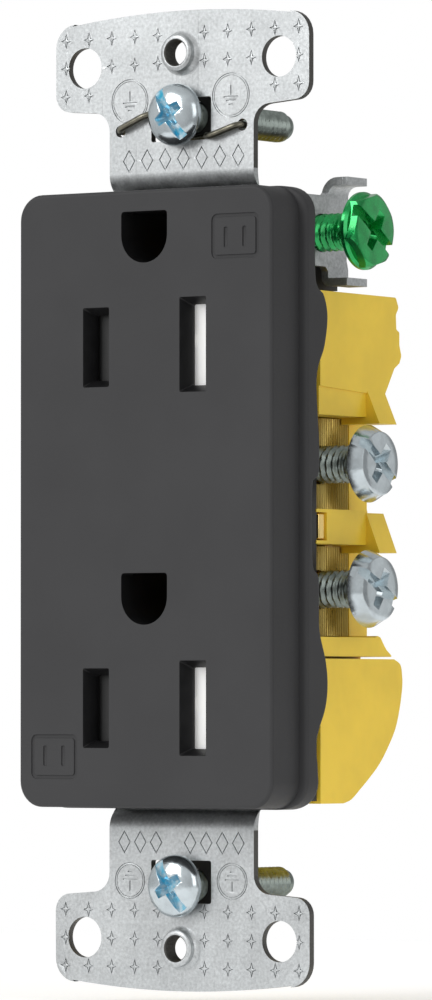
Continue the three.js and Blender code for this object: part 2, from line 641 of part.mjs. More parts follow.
const groundScrew = piece('ground_screw', hexScrew(), green);
groundScrew.position.set(GROUND_SCREW_X, GROUND_SCREW_Y, GROUND_SCREW_Z);
groundScrew.rotation.z = Math.PI / 2;

// ---- inner insulator ----------------------------------------------------------------------

function bladePassages([y0, y1], low, high, margin = 0) {
  const passages = [];
  for (const side of Object.values(SIDES)) {
    for (const z of Object.values(OUTLETS)) {
      passages.push(block(sideways(side, [low, high]), [y0, y1], around(z, CONTACT_HALF + 2 + margin)));
    }
  }
  return passages;
}

function innerInsulator() {
  const half = INSULATOR_WIDTH / 2;
  const [blockInner, blockOuter] = GROUND_BLOCK_X;
  let plate = block([-half, half], [INSULATOR_FRONT, INSULATOR_BACK], around(0, BODY_HALF_HEIGHT - GAP));
  for (const side of Object.values(SIDES)) {
    plate = plate.add(block(sideways(side, [half - RIM_WALL, half]), [RIM_FRONT, INSULATOR_FRONT + 0.1],
      [-RIM_HALF_HEIGHT, RIM_HALF_HEIGHT]));
  }
  plate = plate.subtract(block([blockOuter, half + 1], [RIM_FRONT - 1, INSULATOR_BACK + 1],
    [TAB_LOW - 2 * GAP, BODY_HALF_HEIGHT]));
  plate = plate.add(block([blockInner, blockOuter], [INSULATOR_BACK - 0.1, GROUND_BLOCK_BACK],
    [GROUND_BLOCK_LOW, BODY_HALF_HEIGHT - GAP]));
  plate = cut(plate, bladePassages([INSULATOR_FRONT - 1, INSULATOR_BACK + 1], 4.4, 8.4));
  for (const z of Object.values(OUTLETS)) {
    const ground = z + GROUND_RISE;
    plate = cut(plate, [
      block(around(0, GROUND_PLATE / 2 + GAP), [INSULATOR_FRONT - 1, INSULATOR_BACK + 1],
        around(ground, RIVET_OFFSET + RIVET_HEAD + GAP)),
      rod(ASSEMBLY_SHANK + GAP, 'y', [INSULATOR_FRONT - 1, INSULATOR_BACK + 1], [0, z]),
    ]);
  }
  return plate.subtract(rod(TERMINAL_SHANK + 2 * GAP, 'x', [blockInner - 1, blockOuter + 1],
    [GROUND_SCREW_Y, GROUND_SCREW_Z]));
}

piece('inner_insulator', innerInsulator(), black);

// ---- rear body ----------------------------------------------------------------------------

// The lower block seen from the side: flat in front, its rear falling away in one long sweep.
function lowerBlock() {
  const sweep = new THREE.QuadraticBezierCurve(
    new THREE.Vector2(CORE_REAR + 0.4, LOWER_BLOCK_TOP - 5.5),
    new THREE.Vector2(CORE_REAR - 1.6, -BODY_HALF_HEIGHT + 3.2),
    new THREE.Vector2(BODY_FRONT + 4.5, -BODY_HALF_HEIGHT),
  ).getPoints(8).map((point) => [point.x, point.y]);
  return beam([
    [BODY_FRONT, -BODY_HALF_HEIGHT],
    [BODY_FRONT, LOWER_BLOCK_TOP],
    [CORE_REAR - 1, LOWER_BLOCK_TOP],
    [CORE_REAR + 0.4, LOWER_BLOCK_TOP - 0.6],
    [CORE_REAR + 1, LOWER_BLOCK_TOP - 2],
    ...sweep,
  ].reverse(), [-BODY_HALF, BODY_HALF]);
}

// The upper block from the side: strip-length bumps on its rear, then a slope towards the bar.
function upperBlock() {
  const bump = BODY_REAR + 0.4;
  const waist = BODY_REAR - 0.6;
  return beam([
    [BODY_FRONT, UPPER_BLOCK_HIGH],
    [BODY_FRONT, UPPER_BLOCK_LOW - 1],
    [RIB_BACK - 0.6, UPPER_BLOCK_LOW - 1],
    [BODY_REAR - 0.9, UPPER_BLOCK_LOW + 2.2],
    [bump, UPPER_BLOCK_LOW + 3.1],
    [bump, UPPER_BLOCK_LOW + 4.8],
    [waist, UPPER_BLOCK_LOW + 6.3],
    [waist, UPPER_BLOCK_HIGH - 2],
    [BODY_REAR, UPPER_BLOCK_HIGH - 1.4],
    [BODY_REAR, UPPER_BLOCK_HIGH - 0.7],
    [waist, UPPER_BLOCK_HIGH],
  ], [-BODY_HALF, BODY_HALF]);
}

// A rib across both sides, widening downwards into a wedge beyond the bars.
function flaredRib([z0, z1]) {
  const shape = new THREE.Shape([
    new THREE.Vector2(-BAR_X, z1),
    new THREE.Vector2(-RIB_X, z0),
    new THREE.Vector2(RIB_X, z0),
    new THREE.Vector2(BAR_X, z1),
  ]);
  return slab(shape, [BAR_BACK, RIB_BACK]);
}

function bodyShell() {
  const across = (half, y, z) => block([-half, half], y, z);
  const core = across(CORE_HALF, [BODY_FRONT, CORE_REAR], [LOWER_BLOCK_TOP - 7, UPPER_BLOCK_LOW + 2]);
  const top = block([-BODY_HALF, GROUND_BLOCK_X[0] - GAP], [BODY_FRONT, BODY_REAR],
    [UPPER_BLOCK_HIGH - 1, BODY_HALF_HEIGHT]);
  const bars = [
    across(BAR_X, [BODY_FRONT, BAR_BACK], [UPPER_BAR_LOW, UPPER_BLOCK_LOW + 1]),
    across(BAR_X, [BODY_FRONT, BAR_BACK], MIDDLE_BAR),
    across(BAR_X, [BODY_FRONT, BAR_BACK], LOWER_BAR),
  ];
  const ribs = [
    flaredRib([UPPER_BAR_LOW - RIB_DROP, UPPER_BLOCK_LOW]),
    flaredRib([MIDDLE_BAR[0] - RIB_DROP, MIDDLE_BAR[1]]),
  ];
  return join([core, upperBlock(), top, lowerBlock(), ...bars, ...ribs]);
}

function backBody() {
  const front = BODY_FRONT - 1;
  const slit = BUS + 2 * GAP;
  const passageDepth = [front, CONTACT_BACK + GAP];
  let body = cut(bodyShell(), bladePassages(passageDepth, BLADE_X - 2.2, BUS_X + BUS + GAP, 0.1));
  for (const side of Object.values(SIDES)) {
    const bus = sideways(side, [BUS_X - GAP, BUS_X - GAP + slit]);
    const armEnd = CONTACT_HALF;
    const tabWindow = sideways(side, [BUS_X - GAP, BAR_X + 1]);
    const wireHole = side * (BUS_X - 1.3);
    body = cut(body, [
      block(bus, [front, ARM_BACK + GAP], [OUTLETS.lower - armEnd, OUTLETS.upper + armEnd]),
      block(bus, [front, BUS_BACK + GAP], [BUS_LOW - GAP, MIDDLE_BAR[0] - GAP]),
      block(bus, [front, BUS_BACK + GAP], [MIDDLE_BAR[1] + GAP, BUS_HIGH + GAP]),
      block(tabWindow, [front, BREAK_TAB_BACK + GAP], TAB_WINDOW),
      block(bus, [front, BREAK_TAB_BACK + GAP], MIDDLE_BAR),
    ]);
    for (const z of Object.values(TERMINALS)) {
      const bore = sideways(side, [TERMINAL_TIP - TERMINAL_TRAVEL - GAP, CORE_HALF + 1]);
      body = body.subtract(rod(TERMINAL_SHANK + 2 * GAP, 'x', bore, [TERMINAL_Y, z]));
    }
    for (const z of Object.values(CLIP_OFFSETS)) {
      body = cut(body, [
        block(sideways(side, [BUS_X - 3.8, CORE_HALF + 0.01]), [BREAK_TAB_BACK + 0.6, BUS_BACK],
          around(z, 1.6)),
        rod(1.05, 'y', [BUS_BACK - 1, CORE_REAR + 1], [wireHole, z], 16),
      ]);
    }
  }
  for (const z of Object.values(OUTLETS)) {
    const ground = z + GROUND_RISE;
    const headSeat = BODY_REAR - ASSEMBLY_HEAD_HEIGHT - GAP;
    body = cut(body, [
      block(around(0, GROUND_CONTACT_WIDTH / 2 + GAP + 0.4), [front, CONTACT_BACK + GAP],
        around(ground, GROUND_GAP / 2 + GROUND_LEAF + GAP)),
      rod(ASSEMBLY_SHANK + GAP, 'y', [front, CORE_REAR + 3], [0, z]),
      rod(ASSEMBLY_HEAD + GAP, 'y', [headSeat, CORE_REAR + 3], [0, z]),
    ]);
  }
  return body;
}

piece('back_body', backBody(), yellow);

for (const [level, z] of Object.entries(OUTLETS)) {
  const headY = BODY_REAR - ASSEMBLY_HEAD_HEIGHT;
  const length = headY - FACE_BACK - 1.6 - GAP;
  const screw = piece(`assembly_screw_${level}`,
    panScrew(ASSEMBLY_SHANK, ASSEMBLY_HEAD, ASSEMBLY_HEAD_HEIGHT, length), galvanised);
  screw.position.set(0, headY, z);
  screw.rotation.x = Math.PI;
}

// ---- buses with their blade contacts --------------------------------------------------------

function bus(side) {
  const strip = (x, y, z) => block(sideways(side, x), y, z);
  const plateX = [BUS_X, BUS_X + BUS];
  const [barLow, barHigh] = MIDDLE_BAR;
  const parts = [
    strip(plateX, [BUS_FRONT, BUS_BACK], [BUS_LOW, barLow - GAP - 0.2]),
    strip(plateX, [BUS_FRONT, BUS_BACK], [barHigh + GAP + 0.2, BUS_HIGH]),
    strip(plateX, [BUS_FRONT, BREAK_TAB_BACK], [barLow - 1, barHigh + 1]),
    strip([BUS_X, BREAK_TAB_X], [BUS_FRONT, BREAK_TAB_BACK], [TAB_WINDOW[0] + GAP, TAB_WINDOW[1] - GAP]),
  ];
  for (const z of Object.values(OUTLETS)) {
    const inner = BLADE_X - CONTACT_GAP / 2;
    const outer = BLADE_X + CONTACT_GAP / 2;
    const reach = CONTACT_HALF - GAP;
    parts.push(
      strip(plateX, [BUS_FRONT, ARM_BACK], z > 0 ? [BUS_HIGH - 1, z + reach] : [z - reach, BUS_LOW + 1]),
      strip([outer + 0.1, BUS_X + 0.1], [ARM_BACK - 1.6, ARM_BACK], around(z, CONTACT_HALF / 2)),
      strip([outer, outer + CONTACT_LEAF], [BUS_FRONT, CONTACT_BACK], around(z, CONTACT_HALF)),
      strip([inner - CONTACT_LEAF, inner], [BUS_FRONT, CONTACT_BACK], around(z, CONTACT_HALF)),
      strip([inner - CONTACT_LEAF, outer + CONTACT_LEAF], [CONTACT_BACK - CONTACT_LEAF, CONTACT_BACK],
        around(z, CONTACT_HALF)),
    );
  }
  const holes = Object.values(TERMINALS).map((z) => rod(TERMINAL_SHANK + 0.1, 'x',
    sideways(side, [BUS_X - 1, BUS_X + BUS + 1]), [TERMINAL_Y, z]));
  return cut(join(parts), holes);
}

// A leaf bent into a V that grips a straight wire against the terminal plate.
function wireClip(side, z) {
  const inner = BUS_X - 3.5;
  const frontY = BREAK_TAB_BACK + 0.6 + GAP;
  const backY = BUS_BACK - GAP;
  const points = [
    [inner, frontY],
    [BUS_X - GAP, frontY],
    [BUS_X - GAP, frontY + 0.4],
    [inner + 0.4, frontY + 0.4],
    [inner + 0.4, backY - 0.6],
    [BUS_X - 1.6, backY - 4.4],
    [BUS_X - 1.3, backY - 4.1],
    [inner + 0.2, backY],
    [inner, backY],
  ];
  return column(side > 0 ? points : mirrored(points), around(z, 1.3));
}

for (const [name, side] of Object.entries(SIDES)) {
  piece(`${name}_bus`, bus(side), name === 'neutral' ? nickel : brass);
  for (const [level, z] of Object.entries(CLIP_OFFSETS)) {
    piece(`${name}_wire_clip_${level}`, wireClip(side, z), brass);
  }
}

// ---- ground contacts ----------------------------------------------------------------------

function groundContact(ground) {
  const half = GROUND_CONTACT_WIDTH / 2;
  const base = [WEB_BACK + GAP, WEB_BACK + GAP + GROUND_LEAF];
  const reach = RIVET_OFFSET + RIVET_HEAD;
  const leaf = (sign) => {
    const from = sign * (GROUND_GAP / 2);
    const to = sign * (GROUND_GAP / 2 + GROUND_LEAF);
    return block([-half, half], [base[0], CONTACT_BACK],
      [ground + Math.min(from, to), ground + Math.max(from, to)]);
  };
  const plate = block([-GROUND_PLATE / 2, GROUND_PLATE / 2], base, around(ground, reach));
  return cut(join([plate, leaf(1), leaf(-1)]), [
    block([-half - 0.5, half + 0.5], [base[0] - 1, base[1] + 1], around(ground, GROUND_GAP / 2)),
    rod(RIVET_RADIUS + GAP, 'y', [base[0] - 1, base[1] + 1], [0, ground + RIVET_OFFSET], 12),
    rod(RIVET_RADIUS + GAP, 'y', [base[0] - 1, base[1] + 1], [0, ground - RIVET_OFFSET], 12),
  ]);
}

function rivet(z) {
  const back = WEB_BACK + GROUND_LEAF + 2 * GAP;
  return join([
    rod(RIVET_RADIUS, 'y', [WEB_Y - GAP - 0.5, back + 0.5], [0, z], 12),
    rod(RIVET_HEAD, 'y', [WEB_Y - GAP - 0.5, WEB_Y - GAP], [0, z], 16),
    rod(RIVET_HEAD - 0.2, 'y', [back, back + 0.5], [0, z], 16),
  ]);
}

for (const [level, z] of Object.entries(OUTLETS)) {
  const ground = z + GROUND_RISE;
  piece(`ground_contact_${level}`, groundContact(ground), brass);
  piece(`ground_rivet_${level}_high`, rivet(ground + RIVET_OFFSET), nickel);
  piece(`ground_rivet_${level}_low`, rivet(ground - RIVET_OFFSET), nickel);
}

export default outlet;
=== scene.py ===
"""Duplex wall outlet: the finished surfaces and materials of its pieces, and a plain studio stage.

Sizes are in millimetres until a mesh is made; X is right, Y back into the wall, Z up.
"""

import math

import bmesh
import bpy
import numpy as np
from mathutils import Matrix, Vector


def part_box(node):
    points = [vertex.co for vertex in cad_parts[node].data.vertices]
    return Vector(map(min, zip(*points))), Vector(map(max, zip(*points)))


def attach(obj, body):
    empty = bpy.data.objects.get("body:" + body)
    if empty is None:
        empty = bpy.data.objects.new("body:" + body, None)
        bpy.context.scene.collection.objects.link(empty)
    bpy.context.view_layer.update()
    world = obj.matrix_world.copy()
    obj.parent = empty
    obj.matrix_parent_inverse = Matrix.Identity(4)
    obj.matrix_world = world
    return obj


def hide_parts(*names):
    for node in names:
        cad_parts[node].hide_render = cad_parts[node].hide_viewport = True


bl_info = {
    "name": "Duplex Wall Outlet",
    "version": (1, 0, 0),
    "blender": (4, 5, 0),
    "location": "View3D > Sidebar > Outlet",
    "description": "Builds the visible surfaces of a duplex wall outlet around its frame",
    "category": "Add Mesh",
}

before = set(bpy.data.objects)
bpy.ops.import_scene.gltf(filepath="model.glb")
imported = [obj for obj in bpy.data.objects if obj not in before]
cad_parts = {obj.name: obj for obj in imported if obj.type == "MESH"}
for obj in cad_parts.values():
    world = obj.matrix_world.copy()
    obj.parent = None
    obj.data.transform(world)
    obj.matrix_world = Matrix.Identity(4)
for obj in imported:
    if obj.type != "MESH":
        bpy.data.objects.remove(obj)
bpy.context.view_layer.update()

SIDES = {"neutral": 1.0, "line": -1.0}
LEVELS = ("upper", "lower")


def node_box(node):
    """The lowest and highest corners of a frame node, in millimetres."""
    low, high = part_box(node)
    return np.array(low) * 1000.0, np.array(high) * 1000.0


FACE_LOW, FACE_HIGH = node_box("front_cover")
STRAP_LOW, STRAP_HIGH = node_box("mounting_strap")
BODY_LOW, BODY_HIGH = node_box("back_body")
BUS_LOW, BUS_HIGH = node_box("neutral_bus")


def middle(node):
    low, high = node_box(node)
    return (low + high) / 2


GROUND_Z = {level: middle(f"ground_contact_{level}")[2] for level in LEVELS}
BLADE_Z = {level: middle(f"neutral_shutter_{level}")[2] for level in LEVELS}
MOUNT_Z = middle("mounting_screw_upper")[2]
TERMINAL = {level: middle(f"neutral_screw_{level}") for level in LEVELS}
GROUND_SCREW = middle("ground_screw")
BLADE_X = 6.35


# ---- the sizes and colours that a user would change -----------------------------------------

def length(name, description, millimetres):
    return bpy.props.FloatProperty(
        name=name, description=description, default=millimetres / 1000, min=0.0, unit="LENGTH", precision=5,
    )


def shade(name, description, code):
    return bpy.props.FloatVectorProperty(
        name=name, description=description, default=linear(code), size=3, min=0.0, max=1.0, subtype="COLOR",
    )


def linear(code):
    """An sRGB hex colour as linear red, green and blue."""
    parts = [int(code[i:i + 2], 16) / 255 for i in (1, 3, 5)]
    return tuple(c / 12.92 if c <= 0.04045 else ((c + 0.055) / 1.055) ** 2.4 for c in parts)


class OutletSizes(bpy.types.PropertyGroup):
    """Sizes of the finished surfaces"""

    face_edge: length("Face edge", "Radius along the front edge of the face", 0.42)
    slot_width: length("Slot width", "Width of a blade slot through the face", 2.2)
    lead_in: length("Lead-in", "How far the sloped mouth of a slot stands out around it", 0.62)
    lead_depth: length("Lead-in depth", "Depth of that slope", 1.5)
    neutral_slot: length("Neutral slot", "Height of the taller slot", 8.7)
    line_slot: length("Line slot", "Height of the shorter slot", 7.1)
    strap_sheet: length("Strap sheet", "Thickness of the strap's steel", 0.85)
    star_pitch: length("Star pitch", "Distance between the stamped stars", 3.07)
    stamp_depth: length("Stamp depth", "Depth of the stamped marks", 0.18)
    thread_pitch: length("Thread pitch", "Pitch of every machine screw, 32 to the inch", 0.794)
    serration: length("Serration", "Pitch of the grooves on the terminal plates", 0.36)
    body_round: length("Body rounding", "Radius on the rear body's edges", 0.28)


class OutletColours(bpy.types.PropertyGroup):
    """Base colours of the finishes"""

    nylon: shade("Face nylon", "Moulded charcoal nylon", "#3C3C3D")
    body: shade("Body", "Yellow glass-filled polyester", "#F2CE3C")
    black: shade("Insulator", "Black phenolic", "#191919")
    shutter: shade("Shutter", "Natural acetal", "#FCFCFA")
    steel: shade("Strap steel", "Galvanised steel", "#C4C7C8")
    zinc: shade("Screw zinc", "Blue-clear zinc plating", "#C9D2D6")
    recess: shade("Recess zinc", "Thick blue passivate in a screw's recess", "#3FB4D6")
    green: shade("Ground screw", "Green-dyed zinc plating", "#14A050")
    nickel: shade("Neutral strip", "Nickel-flashed brass", "#CDB568")
    brass: shade("Brass strip", "Cartridge brass", "#F0C463")
    # The wire's dark, greyed tone is partly painted shade.
    wire: shade("Spring wire", "Tin-bronze spring wire", "#7C796C")


def sizes(name):
    """A size from the property group, in millimetres."""
    return getattr(bpy.context.scene.outlet_sizes, name) * 1000


def colour(name):
    return (*getattr(bpy.context.scene.outlet_colours, name), 1.0)


# ---- outlines: closed loops of points, anticlockwise ------------------------------------------

def arc(centre, radius, start, stop, steps):
    """Points on a circle from one angle to another, in degrees."""
    angles = np.radians(np.linspace(start, stop, steps + 1))
    return np.column_stack([centre[0] + radius * np.cos(angles), centre[1] + radius * np.sin(angles)])


def rounded(corners, radii, steps=6):
    """A polygon whose corners are turned into arcs.

    Each corner is cut back along its two sides by radius / tan(half the corner's angle), and an
    arc joins the two cuts.
    """
    corners = np.asarray(corners, float)
    radii = np.broadcast_to(np.asarray(radii, float), len(corners))
    points = []
    for here, before, after, radius in zip(corners, np.roll(corners, 1, 0), np.roll(corners, -1, 0), radii):
        if radius <= 0:
            points.append(here[None])
            continue
        back = (before - here) / np.linalg.norm(before - here)
        on = (after - here) / np.linalg.norm(after - here)
        half = math.acos(np.clip(back @ on, -1, 1)) / 2
        cut = radius / math.tan(half)
        bisector = (back + on) / np.linalg.norm(back + on)
        centre = here + bisector * radius / math.sin(half)
        first = here + back * cut - centre
        last = here + on * cut - centre
        turn = math.atan2(first[0] * last[1] - first[1] * last[0], first @ last)
        angles = np.linspace(0, turn, steps + 1)
        spin = np.column_stack([
            np.cos(angles) * first[0] - np.sin(angles) * first[1],
            np.sin(angles) * first[0] + np.cos(angles) * first[1],
        ])
        points.append(centre + spin)
    return np.vstack(points)


def rectangle(centre, width, height, radius=0.0, steps=6):
    x, z = width / 2, height / 2
    corners = np.array([(-x, -z), (x, -z), (x, z), (-x, z)]) + np.asarray(centre)
    return rounded(corners, radius, steps)


def circle(centre, radius, steps):
    return arc(centre, radius, 0, 360, steps)[:-1]


def inset(outline, distance):
    """The outline moved inwards by a distance, along the mitre of each point's two sides."""
    before = outline - np.roll(outline, 1, 0)
    after = np.roll(outline, -1, 0) - outline
    before /= np.linalg.norm(before, axis=1, keepdims=True)
    after /= np.linalg.norm(after, axis=1, keepdims=True)
    inward = np.column_stack([-(before + after)[:, 1], (before + after)[:, 0]])
    inward /= np.linalg.norm(inward, axis=1, keepdims=True)
    square = np.column_stack([-after[:, 1], after[:, 0]])
    stretch = 1 / np.maximum(np.abs(np.sum(inward * square, axis=1)), 0.5)
    return outline + inward * (distance * stretch)[:, None]


# ---- closed surfaces ------------------------------------------------------------------------

AXES = {
    "x": lambda a, b, d: np.stack([d, a, b], -1),
    "y": lambda a, b, d: np.stack([a, d, b], -1),
    "z": lambda a, b, d: np.stack([a, b, d], -1),
}


def laid(outline, axis, depth):
    """An outline's points at a depth along an axis."""
    return AXES[axis](outline[:, 0], outline[:, 1], np.full(len(outline), depth))


def grid_faces(count, around):
    """Quads between successive closed rings of a grid."""
    i, j = np.meshgrid(np.arange(count - 1), np.arange(around), indexing="ij")
    k = (j + 1) % around
    quads = np.stack([i * around + j, i * around + k, (i + 1) * around + k, (i + 1) * around + j], -1)
    return quads.reshape(-1, 4).tolist()


class Surface:
    """Vertices in millimetres and faces; adding two keeps both closed shells in one mesh."""

    def __init__(self, points, faces):
        self.points = np.asarray(points, float).reshape(-1, 3)
        self.faces = faces

    def __add__(self, other):
        shift = len(self.points)
        moved = [[index + shift for index in face] for face in other.faces]
        return Surface(np.vstack([self.points, other.points]), self.faces + moved)

    def moved(self, offset):
        return Surface(self.points + np.asarray(offset, float), self.faces)

    def flipped(self):
        """The same surface with its faces turned over."""
        return Surface(self.points, [face[::-1] for face in self.faces])

    def mirrored(self):
        return Surface(self.points * (-1, 1, 1), self.faces).flipped()


def rings(loops):
    """A closed surface through a stack of equal loops, with a flat face at each end."""
    count, around = loops.shape[:2]
    faces = grid_faces(count, around)
    faces.append(list(range(around))[::-1])
    faces.append([(count - 1) * around + j for j in range(around)])
    return Surface(loops, faces)


def prism(outline, axis, low, high, edge_low=0.0, edge_high=0.0, steps=4):
    """An outline carried along an axis, its end edges rounded.

    Near an end the outline is inset by r (1 - cos t) while the depth goes as r (1 - sin t), so
    the edge is a quarter circle of radius r.
    """
    stations = []
    if edge_low > 0:
        t = np.linspace(0, math.pi / 2, steps + 1)
        stations += [(low + edge_low * (1 - math.sin(a)), edge_low * (1 - math.cos(a))) for a in t[::-1]]
    else:
        stations.append((low, 0.0))
    if edge_high > 0:
        t = np.linspace(0, math.pi / 2, steps + 1)
        stations += [(high - edge_high * (1 - math.sin(a)), edge_high * (1 - math.cos(a))) for a in t]
    else:
        stations.append((high, 0.0))
    loops = []
    for depth, step in stations:
        loop = inset(outline, step) if step > 0 else outline
        loops.append(laid(loop, axis, depth))
    surface = rings(np.array(loops))
    return surface.flipped() if axis == "y" else surface


def taper(outline, narrow, axis, low, high):
    """An outline that becomes another of as many points, such as a sloped slot mouth."""
    surface = rings(np.array([laid(outline, axis, low), laid(narrow, axis, high)]))
    return surface.flipped() if axis == "y" else surface


def box(x, y, z, edge=0.0):
    """A block between two places on each axis, with its upright edges rounded."""
    outline = rectangle(((x[0] + x[1]) / 2, (y[0] + y[1]) / 2), x[1] - x[0], y[1] - y[0], edge, 3)
    return prism(outline, "z", z[0], z[1], edge * 0.6, edge * 0.6, 3)


def turned(profile, segments, centre=(0.0, 0.0, 0.0)):
    """A profile of radius and height turned once round a line along Y, closed where it meets it.

    The point at angle a of ring i is (r_i cos a, r_i sin a) beside the line and h_i along it.
    """
    profile = np.asarray(profile, float)
    radius, height = np.maximum(profile[:, 0], 1e-4), profile[:, 1]
    a = np.linspace(0, 2 * math.pi, segments, endpoint=False)
    u = radius[:, None] * np.cos(a)
    v = radius[:, None] * np.sin(a)
    d = np.broadcast_to(height[:, None], u.shape)
    surface = rings(AXES["y"](u, v, d)).moved(centre)
    return surface.flipped() if height[-1] > height[0] else surface


def tube(path, radius, sides):
    """A round section carried along a path by a frame that never twists."""
    path = np.asarray(path, float)
    tangent = np.gradient(path, axis=0)
    tangent /= np.linalg.norm(tangent, axis=1, keepdims=True)
    side = np.cross(tangent[0], (0.0, 0.0, 1.0))
    if np.linalg.norm(side) < 1e-3:
        side = np.cross(tangent[0], (1.0, 0.0, 0.0))
    loops = []
    a = np.linspace(0, 2 * math.pi, sides, endpoint=False)[:, None]
    for point, along in zip(path, tangent):
        side = side - along * (side @ along)
        side /= np.linalg.norm(side)
        up = np.cross(along, side)
        loops.append(point + radius * (np.cos(a) * side + np.sin(a) * up))
    return rings(np.array(loops))


def smooth_path(points, steps=8):
    """A Catmull-Rom curve through given points."""
    p = np.asarray(points, float)
    p = np.vstack([2 * p[0] - p[1], p, 2 * p[-1] - p[-2]])
    t = np.linspace(0, 1, steps, endpoint=False)[:, None]
    parts = []
    for i in range(1, len(p) - 2):
        a, b, c, d = p[i - 1:i + 3]
        parts.append(0.5 * (2 * b + (c - a) * t + (2 * a - 5 * b + 4 * c - d) * t ** 2
                            + (3 * b - 3 * c + d - a) * t ** 3))
    return np.vstack([*parts, p[-2][None]])


def groove(outline, width, axis, low, high):
    """A narrow ring that follows an outline: the cutter of a stamped line."""
    outer = inset(outline, -width / 2)
    inner = inset(outline, width / 2)
    count = len(outline)
    stack = [(outer, low), (outer, high), (inner, high), (inner, low)]
    loops = np.array([laid(loop, axis, depth) for loop, depth in stack])
    i, j = np.meshgrid(np.arange(4), np.arange(count), indexing="ij")
    k = (j + 1) % count
    n = (i + 1) % 4
    quads = np.stack([i * count + j, i * count + k, n * count + k, n * count + j], -1)
    surface = Surface(loops, quads.reshape(-1, 4).tolist())
    return surface.flipped() if axis == "y" else surface


# ---- making, cutting and finishing a piece ----------------------------------------------------

def mesh_object(name, surface):
    mesh = bpy.data.meshes.new(name)
    mesh.from_pydata((surface.points / 1000).tolist(), [], surface.faces)
    mesh.validate()
    piece = bpy.data.objects.new(name, mesh)
    bpy.context.scene.collection.objects.link(piece)
    return piece


def outward(piece):
    """Merges doubles and turns every closed shell's faces out."""
    bm = bmesh.new()
    bm.from_mesh(piece.data)
    bmesh.ops.remove_doubles(bm, verts=bm.verts, dist=1e-7)
    bmesh.ops.dissolve_degenerate(bm, edges=bm.edges, dist=1e-7)
    bmesh.ops.recalc_face_normals(bm, faces=bm.faces)
    bm.to_mesh(piece.data)
    bm.free()


def settle(piece):
    """Replaces a piece's mesh by what its modifiers make."""
    graph = bpy.context.evaluated_depsgraph_get()
    mesh = bpy.data.meshes.new_from_object(piece.evaluated_get(graph))
    piece.modifiers.clear()
    piece.data = mesh


def combine(piece, surfaces, operation, look=None, together=False):
    """Cuts surfaces from a piece, joins them to it or keeps what they share.

    A look given here is the finish of the cut faces. Surfaces that never touch each other may be
    worked together, which is quicker.
    """
    for batch in [list(surfaces)] if together else [[surface] for surface in surfaces]:
        group = bpy.data.collections.new(f"{piece.name}_tools")
        tools = [mesh_object(f"{piece.name}_tool", surface) for surface in batch]
        for tool in tools:
            outward(tool)
            if look:
                tool.data.materials.append(look)
            bpy.context.scene.collection.objects.unlink(tool)
            group.objects.link(tool)
        bpy.context.scene.collection.children.link(group)
        modifier = piece.modifiers.new(operation.title(), "BOOLEAN")
        modifier.operation = operation
        modifier.solver = "EXACT"
        modifier.operand_type = "COLLECTION"
        modifier.collection = group
        modifier.material_mode = "TRANSFER" if look else "INDEX"
        settle(piece)
        for tool in tools:
            bpy.data.objects.remove(tool)
        bpy.data.collections.remove(group)


def solid(name, surface, joined=(), cut=()):
    """A piece from one surface, with others joined to it and cut from it."""
    piece = mesh_object(name, surface)
    outward(piece)
    if joined:
        combine(piece, joined, "UNION")
    if cut:
        combine(piece, cut, "DIFFERENCE")
    return piece


def round_edges(piece, radius, segments, angle):
    """Rounds every edge that turns by more than an angle in degrees."""
    outward(piece)
    bevel = piece.modifiers.new("Rounding", "BEVEL")
    bevel.width = radius / 1000
    bevel.segments = segments
    bevel.limit_method = "ANGLE"
    bevel.angle_limit = math.radians(angle)
    bevel.miter_outer = "MITER_ARC"
    bevel.use_clamp_overlap = True
    settle(piece)


def absorb(piece, *others):
    """Puts other pieces' shells into a piece's mesh."""
    bm = bmesh.new()
    bm.from_mesh(piece.data)
    for other in others:
        bm.from_mesh(other.data)
        bpy.data.objects.remove(other)
    bm.to_mesh(piece.data)
    bm.free()


def finish(piece, body, look, nodes=(), smooth=34.0):
    """Shades a piece, gives it its finish, puts it under its body and hides the frame nodes that it stands
    for.
    """
    outward(piece)
    mesh = piece.data
    mesh.polygons.foreach_set("use_smooth", np.ones(len(mesh.polygons), bool))
    mesh.set_sharp_from_angle(angle=math.radians(smooth))
    flat = piece.modifiers.new("Flat faces", "WEIGHTED_NORMAL")
    flat.keep_sharp = True
    flat.weight = 100
    if not mesh.materials:
        mesh.materials.append(look)
    elif mesh.materials[0] is None:
        mesh.materials[0] = look
    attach(piece, body)
    if nodes:
        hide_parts(*nodes)
    return piece


# ---- materials --------------------------------------------------------------------------------

SOFT = {"Roughness": 0.55}        # how strongly a noise's fine octaves show
MID = {"i1": 0.3, "i2": 0.7}      # the part of a noise's range that its values fill


def material(name):
    """Turns a function that fills a node tree into one that returns its material, made only once."""
    def wrap(fill):
        def get():
            made = bpy.data.materials.get(name)
            if made is None:
                made = bpy.data.materials.new(name)
                made.use_nodes = True
                fill(made.node_tree, made.node_tree.nodes["Principled BSDF"])
            return made
        return get
    return wrap


def node(tree, kind, settings=None, out=0, **inputs):
    """Adds a node, or takes one that is there, sets it, links it and gives one of its outputs.

    Settings are the node's own properties. Inputs are numbers, colours or links, by their name or
    by their place, as in i3.
    """
    made = kind if isinstance(kind, bpy.types.Node) else tree.nodes.new("ShaderNode" + kind)
    for key, value in (settings or {}).items():
        setattr(made, key, value)
    for key, value in inputs.items():
        socket = made.inputs[int(key[1:]) if key[1:].isdigit() else key.replace("_", " ")]
        if isinstance(value, bpy.types.NodeSocket):
            tree.links.new(value, socket)
        else:
            socket.default_value = value
    return made.outputs[out]


def tinted(tree, base, factor, low, high):
    """The base colour with its brightness moved between two levels by a factor."""
    level = node(tree, "MapRange", Value=factor, **MID, i3=low, i4=high)
    return node(tree, "HueSaturation", Color=base, Value=level)


